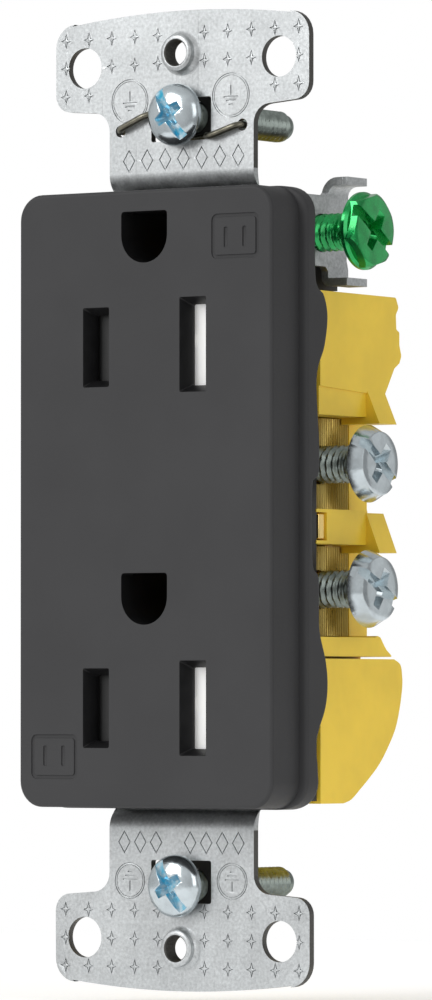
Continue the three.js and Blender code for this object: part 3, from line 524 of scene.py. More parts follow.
@material("moulded_charcoal_nylon")
def moulded_nylon(tree, shader):
    # Nylon moulded in a spark-eroded tool: a fine matt grain with faint pits and flow clouds.
    where = node(tree, "TexCoord", out="Object")
    grain = node(tree, "TexNoise", Vector=where, Scale=1000 / 0.22, Detail=4, **SOFT)
    clouds = node(tree, "TexNoise", Vector=where, Scale=1000 / 9.0, Detail=2, **SOFT)
    pits = node(tree, "TexVoronoi", {"feature": "F1"}, "Distance", Vector=where, Scale=1000 / 1.7)
    pit = node(tree, "MapRange", Value=pits, i1=0.03, i2=0.10, i3=0.0, i4=1.0)
    grained = node(tree, "Bump", Height=grain, Distance=0.012 / 1000, Strength=0.5)
    node(
        tree, shader, Base_Color=tinted(tree, colour("nylon"), clouds, 0.95, 1.05), IOR=1.53,
        Specular_IOR_Level=0.15, Roughness=node(tree, "MapRange", Value=grain, **MID, i3=0.46, i4=0.56),
        Normal=node(tree, "Bump", Height=pit, Distance=0.012 / 1000, Strength=0.35, Normal=grained),
    )


@material("pin_polished_nylon_with_painted_shade")
def polished_slot_shade_nylon(tree, shader):
    # The same nylon where the tool's slot pins are polished, so smoother; its much darker colour is painted
    # shade for the deep slot walls.
    where = node(tree, "TexCoord", out="Object")
    flow = node(tree, "TexNoise", Vector=where, Scale=1000 / 1.5, Detail=2, **SOFT)
    node(
        tree, shader, Base_Color=tinted(tree, (*linear("#161617"), 1.0), flow, 0.9, 1.1), IOR=1.53,
        Specular_IOR_Level=0.25, Roughness=node(tree, "MapRange", Value=flow, **MID, i3=0.36, i4=0.46),
    )


@material("sheared_steel_edge_and_shade")
def sheared_edge_and_shade(tree, shader):
    # Bare steel left by the press: torn and not galvanised; its dark tone is also painted shade, most of
    # all in the hole walls and the collar's bore.
    where = node(tree, "TexCoord", out="Object")
    torn = node(tree, "TexNoise", Vector=where, Scale=1000 / 0.18, Detail=4, **SOFT)
    node(
        tree, shader, Base_Color=tinted(tree, (*linear("#5C5B58"), 1.0), torn, 0.6, 1.2), Metallic=0.8,
        Roughness=node(tree, "MapRange", Value=torn, **MID, i3=0.4, i4=0.6),
        Normal=node(tree, "Bump", Height=torn, Distance=0.02 / 1000, Strength=0.6),
    )


@material("moulded_yellow_polyester")
def body_polyester(tree, shader):
    # Glass-filled polyester: satin, slightly cloudy yellow with a hint of light inside it.
    where = node(tree, "TexCoord", out="Object")
    clouds = node(tree, "TexNoise", Vector=where, Scale=1000 / 6.0, Detail=3, **SOFT)
    grain = node(tree, "TexNoise", Vector=where, Scale=1000 / 0.3, Detail=3, **SOFT)
    node(
        tree, shader, Base_Color=tinted(tree, colour("body"), clouds, 0.93, 1.06), IOR=1.55,
        Roughness=node(tree, "MapRange", Value=grain, **MID, i3=0.36, i4=0.46), Subsurface_Weight=0.12,
        Subsurface_Radius=(0.9, 0.55, 0.12), Subsurface_Scale=0.001,
        Normal=node(tree, "Bump", Height=grain, Distance=0.010 / 1000, Strength=0.35),
    )


@material("moulded_black_phenolic")
def black_phenolic(tree, shader):
    # Compression-moulded phenolic: black with a dull sheen and a faint grain.
    where = node(tree, "TexCoord", out="Object")
    grain = node(tree, "TexNoise", Vector=where, Scale=1000 / 0.3, Detail=3, **SOFT)
    clouds = node(tree, "TexNoise", Vector=where, Scale=1000 / 5.0, Detail=3, **SOFT)
    node(
        tree, shader, Base_Color=tinted(tree, colour("black"), clouds, 0.85, 1.15), IOR=1.6,
        Roughness=node(tree, "MapRange", Value=grain, **MID, i3=0.42, i4=0.56),
        Normal=node(tree, "Bump", Height=grain, Distance=0.01 / 1000, Strength=0.4),
    )


@material("moulded_white_acetal_painted_glow")
def acetal(tree, shader):
    # Natural acetal: smooth, milky white with light spreading inside it; the emission is painted light that
    # makes it glow in its slot.
    where = node(tree, "TexCoord", out="Object")
    clouds = node(tree, "TexNoise", Vector=where, Scale=1000 / 4.0, Detail=3, **SOFT)
    grain = node(tree, "TexNoise", Vector=where, Scale=1000 / 0.4, Detail=3, **SOFT)
    node(
        tree, shader, Base_Color=tinted(tree, colour("shutter"), clouds, 0.98, 1.02), IOR=1.48,
        Roughness=node(tree, "MapRange", Value=grain, **MID, i3=0.28, i4=0.38), Subsurface_Weight=0.2,
        Subsurface_Radius=(0.7, 0.7, 0.6), Subsurface_Scale=0.001,
        # Painted glow: the shutter gives off light though it is no lamp.
        Emission_Color=(1.0, 1.0, 0.98, 1.0), Emission_Strength=0.22,
    )


@material("galvanised_steel_sheet")
def galvanised_steel(tree, shader):
    # Continuous galvanised sheet: fine spangle, rolling streaks, handling scratches.
    where = node(tree, "TexCoord", out="Object")
    spangle = node(tree, "TexVoronoi", {"feature": "F1"}, "Color", Vector=where, Scale=1000 / 0.7)
    cells = node(tree, "SeparateColor", Color=spangle)
    speckle = node(tree, "TexNoise", Vector=where, Scale=1000 / 0.35, Detail=5, Roughness=0.7)
    smudge = node(tree, "TexNoise", Vector=where, Scale=1000 / 7.0, Detail=3, **SOFT)
    stretched = node(tree, "Mapping", Vector=where, Rotation=(0.0, 0.62, 0.0), Scale=(1.0, 1.0, 0.03))
    scratch = node(tree, "TexNoise", Vector=stretched, Scale=1000 / 0.5, Detail=2, Roughness=0.4)
    lines = node(tree, "MapRange", Value=scratch, i1=0.66, i2=0.74, i3=0.0, i4=1.0)
    mottled = tinted(tree, colour("steel"), speckle, 0.70, 1.12)
    speckled = node(tree, "Bump", Height=speckle, Distance=0.018 / 1000, Strength=0.6)
    node(
        tree, shader, Base_Color=tinted(tree, mottled, smudge, 0.88, 1.08), Metallic=0.9,
        Roughness=node(tree, "MapRange", Value=cells, i1=0.0, i2=1.0, i3=0.34, i4=0.5),
        Normal=node(tree, "Bump", Height=lines, Distance=0.02 / 1000, Strength=0.7, Normal=speckled),
    )


@material("blue_clear_zinc_plate")
def zinc_plate(tree, shader):
    # Bright zinc with a blue-clear passivate over a cold-headed blank.
    where = node(tree, "TexCoord", out="Object")
    fine = node(tree, "TexNoise", Vector=where, Scale=1000 / 0.5, Detail=3, **SOFT)
    patches = node(tree, "TexNoise", Vector=where, Scale=1000 / 1.6, Detail=3, **SOFT)
    node(
        tree, shader, Base_Color=tinted(tree, colour("zinc"), patches, 0.84, 1.06), Metallic=1.0,
        Roughness=node(tree, "MapRange", Value=fine, **MID, i3=0.14, i4=0.24),
        Normal=node(tree, "Bump", Height=fine, Distance=0.012 / 1000, Strength=0.35),
    )


@material("pooled_blue_passivate")
def zinc_recess(tree, shader):
    # The same plate where the passivate gathers thick and shows a strong blue.
    where = node(tree, "TexCoord", out="Object")
    patches = node(tree, "TexNoise", Vector=where, Scale=1000 / 0.7, Detail=2, **SOFT)
    share = node(tree, "MapRange", Value=patches, **MID, i3=0.0, i4=1.0)
    mixed = node(tree, "Mix", {"data_type": "RGBA"}, 2, i0=share, i6=colour("recess"), i7=colour("zinc"))
    node(
        tree, shader, Base_Color=mixed, Metallic=0.65,
        Roughness=node(tree, "MapRange", Value=patches, **MID, i3=0.14, i4=0.26),
    )


@material("thread_zinc_with_painted_shade")
def shaded_rolled_thread(tree, shader):
    # Thread-rolled zinc, duller than the heads; its darker, greyer colour is painted shade.
    where = node(tree, "TexCoord", out="Object")
    blotches = node(tree, "TexNoise", Vector=where, Scale=1000 / 0.8, Detail=3, **SOFT)
    fine = node(tree, "TexNoise", Vector=where, Scale=1000 / 0.3, Detail=3, **SOFT)
    node(
        tree, shader, Base_Color=tinted(tree, (*linear("#8B948F"), 1.0), blotches, 0.6, 1.15), Metallic=1.0,
        Roughness=node(tree, "MapRange", Value=blotches, **MID, i3=0.26, i4=0.4),
        Normal=node(tree, "Bump", Height=fine, Distance=0.01 / 1000, Strength=0.4),
    )


@material("green_dyed_zinc")
def green_zinc(tree, shader):
    # Zinc dyed green under a clear lacquer: deep, uneven and glossy.
    where = node(tree, "TexCoord", out="Object")
    patches = node(tree, "TexNoise", Vector=where, Scale=1000 / 1.6, Detail=3, **SOFT)
    fine = node(tree, "TexNoise", Vector=where, Scale=1000 / 0.4, Detail=3, **SOFT)
    node(
        tree, shader, Base_Color=tinted(tree, colour("green"), patches, 0.72, 1.2), Metallic=0.8,
        Roughness=node(tree, "MapRange", Value=fine, **MID, i3=0.18, i4=0.28), Coat_Weight=0.5,
        Coat_Roughness=0.1, Normal=node(tree, "Bump", Height=fine, Distance=0.012 / 1000, Strength=0.35),
    )


def rolled_strip(tree, shader, base, rough):
    """Rolled brass strip: faint lines drawn along its length, dulled by handling."""
    where = node(tree, "TexCoord", out="Object")
    stretched = node(tree, "Mapping", Vector=where, Scale=(1.0, 1.0, 0.05))
    drawn = node(tree, "TexNoise", Vector=stretched, Scale=1000 / 0.25, Detail=3, **SOFT)
    dull = node(tree, "TexNoise", Vector=where, Scale=1000 / 3.0, Detail=3, **SOFT)
    node(
        tree, shader, Base_Color=tinted(tree, base, dull, 0.86, 1.06), Metallic=1.0,
        Roughness=node(tree, "MapRange", Value=drawn, **MID, i3=rough, i4=rough + 0.14),
        Normal=node(tree, "Bump", Height=drawn, Distance=0.006 / 1000, Strength=0.3),
    )


@material("nickel_flashed_brass_strip")
def nickel_strip(tree, shader):
    # Brass strip under a thin nickel flash: a pale, greyed gold.
    rolled_strip(tree, shader, colour("nickel"), 0.22)


@material("cartridge_brass_strip")
def brass_strip(tree, shader):
    # Plain cartridge brass: warmer and a little duller.
    rolled_strip(tree, shader, colour("brass"), 0.24)


@material("sheared_brass_and_highlight")
def sheared_brass_and_highlight(tree, shader):
    # Brass sheared fresh through its plating; its very pale, bright yellow is partly a painted highlight.
    rolled_strip(tree, shader, (*linear("#FFDF8E"), 1.0), 0.2)


@material("drawn_bronze_wire_and_shade")
def bronze_wire_and_shade(tree, shader):
    # Drawn bronze spring wire with die lines; its dark, greyed colour is partly the wire's own and partly
    # painted shade.
    where = node(tree, "TexCoord", out="Object")
    blotches = node(tree, "TexNoise", Vector=where, Scale=1000 / 1.0, Detail=3, **SOFT)
    fine = node(tree, "TexNoise", Vector=where, Scale=1000 / 0.2, Detail=3, **SOFT)
    node(
        tree, shader, Base_Color=tinted(tree, colour("wire"), blotches, 0.6, 1.1), Metallic=1.0,
        Roughness=node(tree, "MapRange", Value=fine, **MID, i3=0.25, i4=0.4),
    )


@material("fibre_with_painted_shade")
def fibre_with_painted_shade(tree, shader):
    # Pressed fibre sheet, dry and slightly napped; its near-black colour is partly the fibre's own and
    # partly painted shade seen through the strap's screw slot.
    where = node(tree, "TexCoord", out="Object")
    nap = node(tree, "TexNoise", Vector=where, Scale=1000 / 0.25, Detail=4, **SOFT)
    node(
        tree, shader, Base_Color=tinted(tree, (*linear("#2B2A28"), 1.0), nap, 0.7, 1.2),
        Roughness=node(tree, "MapRange", Value=nap, **MID, i3=0.7, i4=0.85),
        Normal=node(tree, "Bump", Height=nap, Distance=0.03 / 1000, Strength=0.6),
    )


@material("opal_acrylic_light_table")
def opal_table(tree, shader):
    # Opal acrylic laid over a light table: matt white with a faint glow.
    where = node(tree, "TexCoord", out="Object")
    fibre = node(tree, "TexNoise", Vector=where, Scale=1000 / 2.0, Detail=2, **SOFT)
    node(
        tree, shader, Base_Color=tinted(tree, (0.93, 0.93, 0.93, 1.0), fibre, 0.995, 1.005),
        Roughness=node(tree, "MapRange", Value=fibre, **MID, i3=0.8, i4=0.9),
        Emission_Color=(1.0, 1.0, 1.0, 1.0), Emission_Strength=0.3,
    )


# ---- front cover ------------------------------------------------------------------------------

COVER_WALL = 1.6
FACE_PLATE = 2.06
FLANGE_FRONT = -1.85
FLANGE_LIP = 1.0
INSERT_HALF = FACE_HIGH[0] - FLANGE_LIP
END_LIP = 0.15
INSERT_END = FACE_HIGH[2] - END_LIP
FACE_CORNER = 2.8
SLOT_CORNER = 0.18
GROUND_HOLE = (3.0, 2.55)         # radius of the round half, height of the flat one
SLEEVE = (0.45, 0.8)              # how far a ground sleeve stands out from its hole, and its wall
BOSS = (2.1, 1.55)                # outer and inner radius of the assembly screws' bosses
BOSS_Y = (-3.3, 2.9)
SHUTTER_MARKS = (((11.85, 27.8), False), ((-11.9, -27.75), True))
SKIRT_WAVE = (
    (-40.0, 0.6), (-30.5, 0.62), (-26.0, 0.3), (-22.6, 1.95), (-20.0, 2.43), (-17.4, 2.05), (-13.9, 0.82),
    (-8.7, 0.75), (-7.0, -0.45), (1.3, -0.45), (2.5, 0.75), (6.0, 0.8), (12.8, 0.35), (16.2, 1.85),
    (19.4, 2.45), (21.7, 1.75), (23.3, 0.2), (31.0, 0.1), (40.0, 0.1),
)


def skirt_rear(z):
    """The skirt's rear edge, which waves between two deep lobes and a shallow middle."""
    knots = np.array([(high, deep, 0.0) for high, deep in SKIRT_WAVE])
    path = smooth_path(knots, 8)
    return np.interp(z, path[:, 0], path[:, 1])


def face_outline():
    return rectangle((0, 0), 2 * INSERT_HALF, 2 * INSERT_END, FACE_CORNER, 10)


def skirt():
    """The flange and skirt: one section carried round the face, as deep as the wave."""
    outline = face_outline()
    finer = []
    for here, there in zip(outline, np.roll(outline, -1, 0)):
        count = max(1, int(np.linalg.norm(there - here) / 0.5))
        finer.append(here + (there - here) * np.linspace(0, 1, count, endpoint=False)[:, None])
    outline = np.vstack(finer)
    rear = skirt_rear(outline[:, 1])
    front, lip = FLANGE_FRONT, FLANGE_LIP
    inner = -COVER_WALL + 0.05
    section = [
        (inner, front, 0), (0.0, front, 0), (0.55, front + 0.03, 0), (0.8, front + 0.12, 0),
        (0.94, front + 0.27, 0), (lip, front + 0.5, 0), (lip, -0.45, 1), (0.95, -0.2, 1), (0.8, -0.05, 1),
        (0.6, 0.0, 1), (inner + 0.2, 0.0, 1), (inner, -0.2, 1),
    ]
    loops = []
    corner = np.clip((np.abs(outline[:, 1]) - (INSERT_END - FACE_CORNER)) / FACE_CORNER, 0, 1) ** 2
    for out, depth, follows in section:
        narrowed = np.minimum(out, END_LIP) * corner if out > 0 else out * corner
        moved = inset_each(outline, -(out * (1 - corner) + narrowed))
        y = rear + depth if follows else np.full(len(outline), depth)
        loops.append(np.stack([moved[:, 0], y, moved[:, 1]], -1))
    loops = np.array(loops)
    count, around = loops.shape[:2]
    i, j = np.meshgrid(np.arange(count), np.arange(around), indexing="ij")
    k = (j + 1) % around
    n = (i + 1) % count
    quads = np.stack([i * around + j, n * around + j, n * around + k, i * around + k], -1)
    return Surface(loops, quads.reshape(-1, 4).tolist())


def inset_each(outline, distances):
    """The outline moved inwards by a distance of its own at each point."""
    unit = inset(outline, 1.0) - outline
    return outline + unit * distances[:, None]


def ground_outline(z, grow=0.0):
    """A ground hole: half a circle below, a flat-topped half above."""
    radius, flat = GROUND_HOLE
    r = radius + grow
    lower = arc((0, z), r, 180, 360, 20)
    upper = rounded([(r, z), (r, z + flat + grow), (-r, z + flat + grow), (-r, z)], [0, 0.35, 0.35, 0], 3)
    return np.vstack([lower, upper[1:-1]])


def shutter_mark(centre, turned_over):
    """A small engraved picture of a shuttered slot pair: a frame with two bars in it."""
    x, z = centre
    front = FACE_LOW[1] - 1
    back = FACE_LOW[1] + 0.16
    sign = -1 if turned_over else 1
    marks = [groove(rectangle((x, z), 5.7, 4.4, 0.5, 3), 0.42, "y", front, back)]
    for dx in (-1.2, 1.2):
        marks.append(prism(rectangle((x + sign * dx, z - sign * 0.1), 0.5, 2.2, 0.15, 2), "y", front, back))
    return marks


class OUTLET_OT_front_cover(bpy.types.Operator):
    """Moulded nylon cover: face with slots, flange and wavy skirt"""

    bl_idname = "outlet.front_cover"
    bl_label = "Front Cover"

    def execute(self, context):
        front = FACE_LOW[1]
        face_back = front + FACE_PLATE
        shell = prism(face_outline(), "y", front, -0.6, sizes("face_edge"), 0, 5)
        cavity = prism(inset(face_outline(), COVER_WALL), "y", face_back, 1.0)
        piece = solid("front_cover_moulding", shell, cut=[cavity])
        piece.data.materials.append(moulded_nylon())
        # The slots' cut walls take the darker slot nylon, which paints shade into the slots.
        combine(piece, self.slots(front, face_back), "DIFFERENCE", polished_slot_shade_nylon(), True)
        marks = [cut for centre, over in SHUTTER_MARKS for cut in shutter_mark(centre, over)]
        combine(piece, marks, "DIFFERENCE", None, True)
        round_edges(piece, 0.07, 2, 40.0)
        rim = mesh_object("skirt", skirt())
        outward(rim)
        inner = []
        out, bore = BOSS
        floor, end = BOSS_Y
        gap, wall = SLEEVE
        for level in LEVELS:
            section = [(0, face_back - 0.3), (out, face_back - 0.3), (out, end), (bore, end), (bore, floor),
                       (0, floor)]
            boss = turned(section, 32, (0, 0, BLADE_Z[level]))
            sleeve = groove(ground_outline(GROUND_Z[level], gap), wall, "y", face_back - 0.1, 3.0)
            inner += [mesh_object("boss", boss), mesh_object("sleeve", sleeve)]
        # The bosses and ground sleeves take the same darker slot nylon: painted shade behind the ground
        # holes.
        for part in inner:
            part.data.polygons.foreach_set("material_index", np.ones(len(part.data.polygons), np.int32))
            outward(part)
        absorb(piece, rim, *inner)
        finish(piece, "device", moulded_nylon(), ("front_cover",), 38.0)
        return {"FINISHED"}

    def slots(self, front, face_back):
        """Blade slots with sloped mouths, and the ground holes."""
        cuts = []
        width, lead, deep = sizes("slot_width"), sizes("lead_in"), sizes("lead_depth")
        for level in LEVELS:
            z = BLADE_Z[level]
            for name, side in SIDES.items():
                height = sizes(f"{name}_slot")
                centre = (side * BLADE_X, z)
                mouth = rectangle(centre, width + 2 * lead, height + 2.4 * lead, SLOT_CORNER, 3)
                throat = rectangle(centre, width, height, SLOT_CORNER, 3)
                above = mouth + (mouth - throat) * 0.3 / deep
                loops = [(above, front - 0.3), (throat, front + deep), (throat, face_back + 0.5)]
                cuts.append(rings(np.array([laid(loop, "y", y) for loop, y in loops])))
            cuts.append(prism(ground_outline(GROUND_Z[level]), "y", front - 1, face_back + 0.5))
        return cuts


# ---- strap --------------------------------------------------------------------------------------

NECK_HALF = 9.5
EAR_HALF = 16.7
EAR_TOP = STRAP_HIGH[2]
EAR_INNER = 42.3
EAR_HOLE = (12.8, 47.43, 2.22)
PLATE_SCREW_Z = 48.41
WEB_Y = 3.3
BEND_START = 35.6
BEND_RADII = (2.4, 1.6)
BEND_ANGLE = math.radians(80.0)
TAB_X = 11.0
LIP_Y = (10.9, 14.85)
SLOT_Z = (38.92, 43.57)
SLOT_WIDE = 7.9
PLATE_HOLE = 1.9
WIRE_HOLE = (8.03, 40.3, 0.66)
COLLAR_BORE = (1.36, 0.16)        # radius of the bore, depth of its ridges
COLLAR_OUT = 2.5
STAR_REACH = 0.76
STAR_WAIST = 0.22
STAR_ROWS = (44.4, 47.48, 50.53)
MARK_LINE = 0.12                  # width of the lines that stars and lozenges are stamped with
EARTH_MARKS = {                   # centre and radius of the ringed earth symbols, for upper or not
    True: ((-6.79, 43.5, 2.4), (6.54, 43.55, 2.4)),
    False: ((-6.77, 41.2, 1.95), (6.68, 41.1, 1.95)),
}
LOZENGES = {True: (-6.9, -4.5, -2.1, 0.3, 2.7, 5.1, 7.5), False: (-7.5, -5.4, -3.3, 1.2, 3.3, 5.4, 7.5)}
LOZENGE_Z = 37.0
LOZENGE = (0.75, 1.15)            # half its width and height


def end_arc():
    """The ear's crowned end: a shallow parabola between the two corner arcs."""
    x = np.linspace(EAR_HALF - 2.2, -EAR_HALF + 2.2, 24)
    return np.column_stack([x, EAR_TOP - 0.95 * (x / (EAR_HALF - 2.2)) ** 2])


def ear_outline():
    """One end of the strap laid flat: ear, neck and the length that the bends take up."""
    low = flat_end()
    corners = [
        (NECK_HALF, low), (NECK_HALF, EAR_INNER), (EAR_HALF, EAR_INNER + 0.55), (EAR_HALF, EAR_TOP - 0.85),
    ]
    right = rounded(corners + [(0, EAR_TOP - 0.2)], [0, 2.1, 1.9, 2.6, 0], 7)[:-1]
    left = right[::-1] * (-1, 1)
    return np.vstack([right, end_arc(), left])


def flat_end():
    """Where the laid-out strap ends: the bends' own length below their start, and a web stub."""
    return BEND_START - sum(BEND_RADII) * BEND_ANGLE - 1.2


def bent(points):
    """Maps a flat strap end to its bent shape.

    Below the bend's start, the distance s along the sheet goes round one arc of angle b towards
    +Y and back round a second one; a point off the sheet's front face by n keeps that offset
    along the sheet's normal.
    """
    z = points[:, 2]
    n = points[:, 1]
    s = np.maximum(BEND_START - z, 0.0)
    first, second = BEND_RADII
    half = first * BEND_ANGLE
    a = np.minimum(s / first, BEND_ANGLE)
    rest = np.maximum(s - half, 0.0)
    b = np.minimum(rest / second, BEND_ANGLE)
    straight = np.maximum(rest - second * BEND_ANGLE, 0.0)
    y = first * (1 - np.cos(a)) + second * (np.cos(BEND_ANGLE - b) - math.cos(BEND_ANGLE))
    drop = first * np.sin(a) + second * (math.sin(BEND_ANGLE) - np.sin(BEND_ANGLE - b)) + straight
    angle = a - b
    placed = points.copy()
    placed[:, 1] = y + n * np.cos(angle)
    placed[:, 2] = np.where(s > 0, BEND_START - drop - n * np.sin(angle), z)
    return placed


def sliced(piece, heights):
    """Cuts a mesh's faces across at each height so that it can bend there."""
    bm = bmesh.new()
    bm.from_mesh(piece.data)
    up = Vector((0.0, 0.0, 1.0))
    for height in heights:
        geometry = bm.verts[:] + bm.edges[:] + bm.faces[:]
        bmesh.ops.bisect_plane(bm, geom=geometry, plane_co=up * height / 1000, plane_no=up)
    bm.to_mesh(piece.data)
    bm.free()


def reshape(piece, rule):
    """Moves every vertex by a rule on the whole array of points."""
    count = len(piece.data.vertices)
    flat = np.empty(count * 3)
    piece.data.vertices.foreach_get("co", flat)
    moved = rule(flat.reshape(-1, 3) * 1000) / 1000
    piece.data.vertices.foreach_set("co", moved.ravel())
    piece.data.update()


def star(x, z):
    """A four-pointed star: long tips up and down, shorter ones sideways, a narrow waist between."""
    angles = np.radians(np.arange(8) * 45.0)
    radius = np.where(np.arange(8) % 2 == 0, STAR_REACH, STAR_WAIST)
    radius = np.where(np.arange(8) % 4 == 0, STAR_REACH * 0.8, radius)
    return np.column_stack([x + radius * np.cos(angles), z + radius * np.sin(angles)])


def star_places(upper):
    """Rows of stars that keep off the holes, the collar and the marks."""
    pitch = sizes("star_pitch")
    places = []
    for row, z in enumerate(STAR_ROWS):
        for column in range(-5, 6):
            x = column * pitch
            near_hole = math.hypot(abs(x) - EAR_HOLE[0], z - EAR_HOLE[1]) < EAR_HOLE[2] + 0.1
            near_collar = math.hypot(x, z - PLATE_SCREW_Z) < 2.9
            near_screw = math.hypot(x, z - MOUNT_Z) < 3.6
            near_marks = row == 0 and abs(x) < 12 and upper
            if not (near_hole or near_collar or near_screw or near_marks):
                places.append((x, z))
    return places


def stamps(upper):
    """Stamped lines: stars, two plain earth rings and a row of lozenges."""
    low, high = -1.0, sizes("stamp_depth")
    cuts = [groove(star(x, z), MARK_LINE, "y", low, high) for x, z in star_places(upper)]
    for x, z, radius in EARTH_MARKS[upper]:
        cuts.append(groove(circle((x, z), radius, 36), 0.1, "y", low, high))
        cuts.append(groove(circle((x, z), radius - 0.22, 36), 0.07, "y", low, high))
        for k, half in enumerate((0.95, 0.62, 0.3)):
            bar = rectangle((x, z - 0.15 - 0.42 * k), 2 * half, 0.13)
            cuts.append(prism(bar, "y", low, high))
        cuts.append(prism(rectangle((x, z + 0.55), 0.13, 1.1), "y", low, high))
    half, tall = LOZENGE
    z = LOZENGE_Z
    for x in LOZENGES[upper]:
        outline = np.array([(x + half, z), (x, z + tall), (x - half, z), (x, z - tall)])
        cuts.append(groove(outline, MARK_LINE, "y", low, high))
    return cuts


def strap_end(name, upper):
    """One end of the strap: cut and stamped flat, bent, and given its raised collar."""
    sheet = sizes("strap_sheet")
    piece = solid(name, prism(ear_outline(), "y", 0, sheet))
    x, z, radius = EAR_HOLE
    outlines = [circle((side * x, z), radius, 40) for side in (-1, 1)]
    outlines.append(circle((0, PLATE_SCREW_Z), PLATE_HOLE, 40))
    outlines.append(rectangle((0, sum(SLOT_Z) / 2), SLOT_WIDE, SLOT_Z[1] - SLOT_Z[0], 0.25, 3))
    if upper:
        x, z, radius = WIRE_HOLE
        outlines += [circle((side * x, z), radius, 20) for side in (-1, 1)]
    holes = [prism(outline, "y", -1, 2) for outline in outlines]
    combine(piece, holes + stamps(upper), "DIFFERENCE", None, True)
    sliced(piece, BEND_START - np.linspace(0, sum(BEND_RADII) * BEND_ANGLE, 25))
    reshape(piece, bent)
    radius, ridge = COLLAR_BORE
    bore = [(radius + ridge * (k % 2), y) for k, y in enumerate(np.linspace(sheet, -0.95, 9))]
    profile = bore + [
        (1.5, -1.12), (1.8, -1.12), (1.98, -0.98), (2.0, -0.35), (2.35, -0.02), (COLLAR_OUT, 0.02),
        (COLLAR_OUT, sheet - 0.02), bore[0],
    ]
    collar = turned(profile, 40)
    faces = grid_faces(len(profile), 40)
    ring = mesh_object("collar", Surface(collar.points, faces).moved((0, 0, PLATE_SCREW_Z)))
    outward(ring)
    absorb(piece, ring)
    if not upper:
        reshape(piece, lambda p: p * (1, 1, -1))
    outward(piece)
    return piece


TAB_BENDS = (2.0, 0.95)           # outer radii of the top and bottom bends
TAB_LIPS = (35.1, 23.3)           # outer faces of the lips
LIP_REACH = 3.35
TAB_FLAT = (
    TAB_LIPS[1] + TAB_BENDS[1] * (1 - math.pi / 2) - (LIP_REACH - TAB_BENDS[1]),
    TAB_LIPS[0] - TAB_BENDS[0] * (1 - math.pi / 2) + (LIP_REACH - TAB_BENDS[0]),
)


def tab_outline():
    """The ground tab laid flat in Y and height: a plate with a lip flap at its top and bottom."""
    low, high = TAB_FLAT
    near, far = LIP_Y
    return rounded([
        (WEB_Y, 25.4), (near - 0.5, 25.4), (near, 24.9), (near, low), (far, low), (far, 25.2),
        (far - 0.3, 26.2), (far - 0.3, 31.6), (far, 32.6), (far, high), (near, high), (near, 33.5),
        (near - 0.4, 33.1), (WEB_Y, 33.1),
    ], [0, 0.4, 0.2, 0.1, 0.1, 0.5, 0.5, 0.5, 0.5, 0.1, 0.1, 0.2, 0.3, 0], 4)


def lips_bent(points):
    """Turns the tab's two flaps outwards, each round a quarter circle of its own radius."""
    placed = points.copy()
    for radius, face, sign in ((TAB_BENDS[0], TAB_LIPS[0], 1), (TAB_BENDS[1], TAB_LIPS[1], -1)):
        s = sign * (points[:, 2] - face) + radius
        past = s > 0
        a = np.minimum(s / radius, math.pi / 2)
        flat = np.maximum(s - radius * math.pi / 2, 0.0)
        off = points[:, 0] - TAB_X
        x = TAB_X + radius * (1 - np.cos(a)) + flat + off * np.cos(a)
        z = face - sign * radius + sign * (radius * np.sin(a) - off * np.sin(a))
        placed[:, 0] = np.where(past, x, placed[:, 0])
        placed[:, 2] = np.where(past, z, placed[:, 2])
    return placed


def ground_tab():
    """The tab that carries the ground screw, with a lip bent out at its top and bottom."""
    sheet = sizes("strap_sheet")
    piece = solid("tab", prism(tab_outline(), "x", TAB_X, TAB_X + sheet), cut=[
        prism(circle((GROUND_SCREW[1], GROUND_SCREW[2]), 2.1, 32), "x", TAB_X - 1, TAB_X + 2)])
    cuts = []
    for radius, face, sign in ((TAB_BENDS[0], TAB_LIPS[0], 1), (TAB_BENDS[1], TAB_LIPS[1], -1)):
        start = face - sign * radius
        cuts += list(start + sign * np.linspace(0, radius * math.pi / 2, 9))
    sliced(piece, cuts)
    reshape(piece, lips_bent)
    return piece


def web():
    """The middle of the strap, hidden behind the cover."""
    sheet = sizes("strap_sheet")
    end = 31.6
    plate = prism(rectangle((0, 0), 7.8, 2 * end), "y", WEB_Y, WEB_Y + sheet)
    parts = [
        prism(rectangle((1.0, 28.3), 2 * NECK_HALF + 3.2, 6.4), "y", WEB_Y, WEB_Y + sheet),
        prism(rectangle((0, -30.6), 2 * NECK_HALF, 2.2), "y", WEB_Y, WEB_Y + sheet),
    ]
    cuts = []
    for level in LEVELS:
        z = GROUND_Z[level]
        parts.append(prism(rectangle((0, z), 10.8, 10.6, 1.0), "y", WEB_Y, WEB_Y + sheet))
        cuts.append(prism(rectangle((0, z), 5.2, 5.2, 0.4), "y", WEB_Y - 1, WEB_Y + 2))
        cuts.append(prism(circle((0, BLADE_Z[level]), 1.55, 24), "y", WEB_Y - 1, WEB_Y + 2))
        for name in ("high", "low"):
            rivet = middle(f"ground_rivet_{level}_{name}")[2]
            cuts.append(prism(circle((0, rivet), 0.9, 16), "y", WEB_Y - 1, WEB_Y + 2))
    return solid("web", plate, parts, cuts)


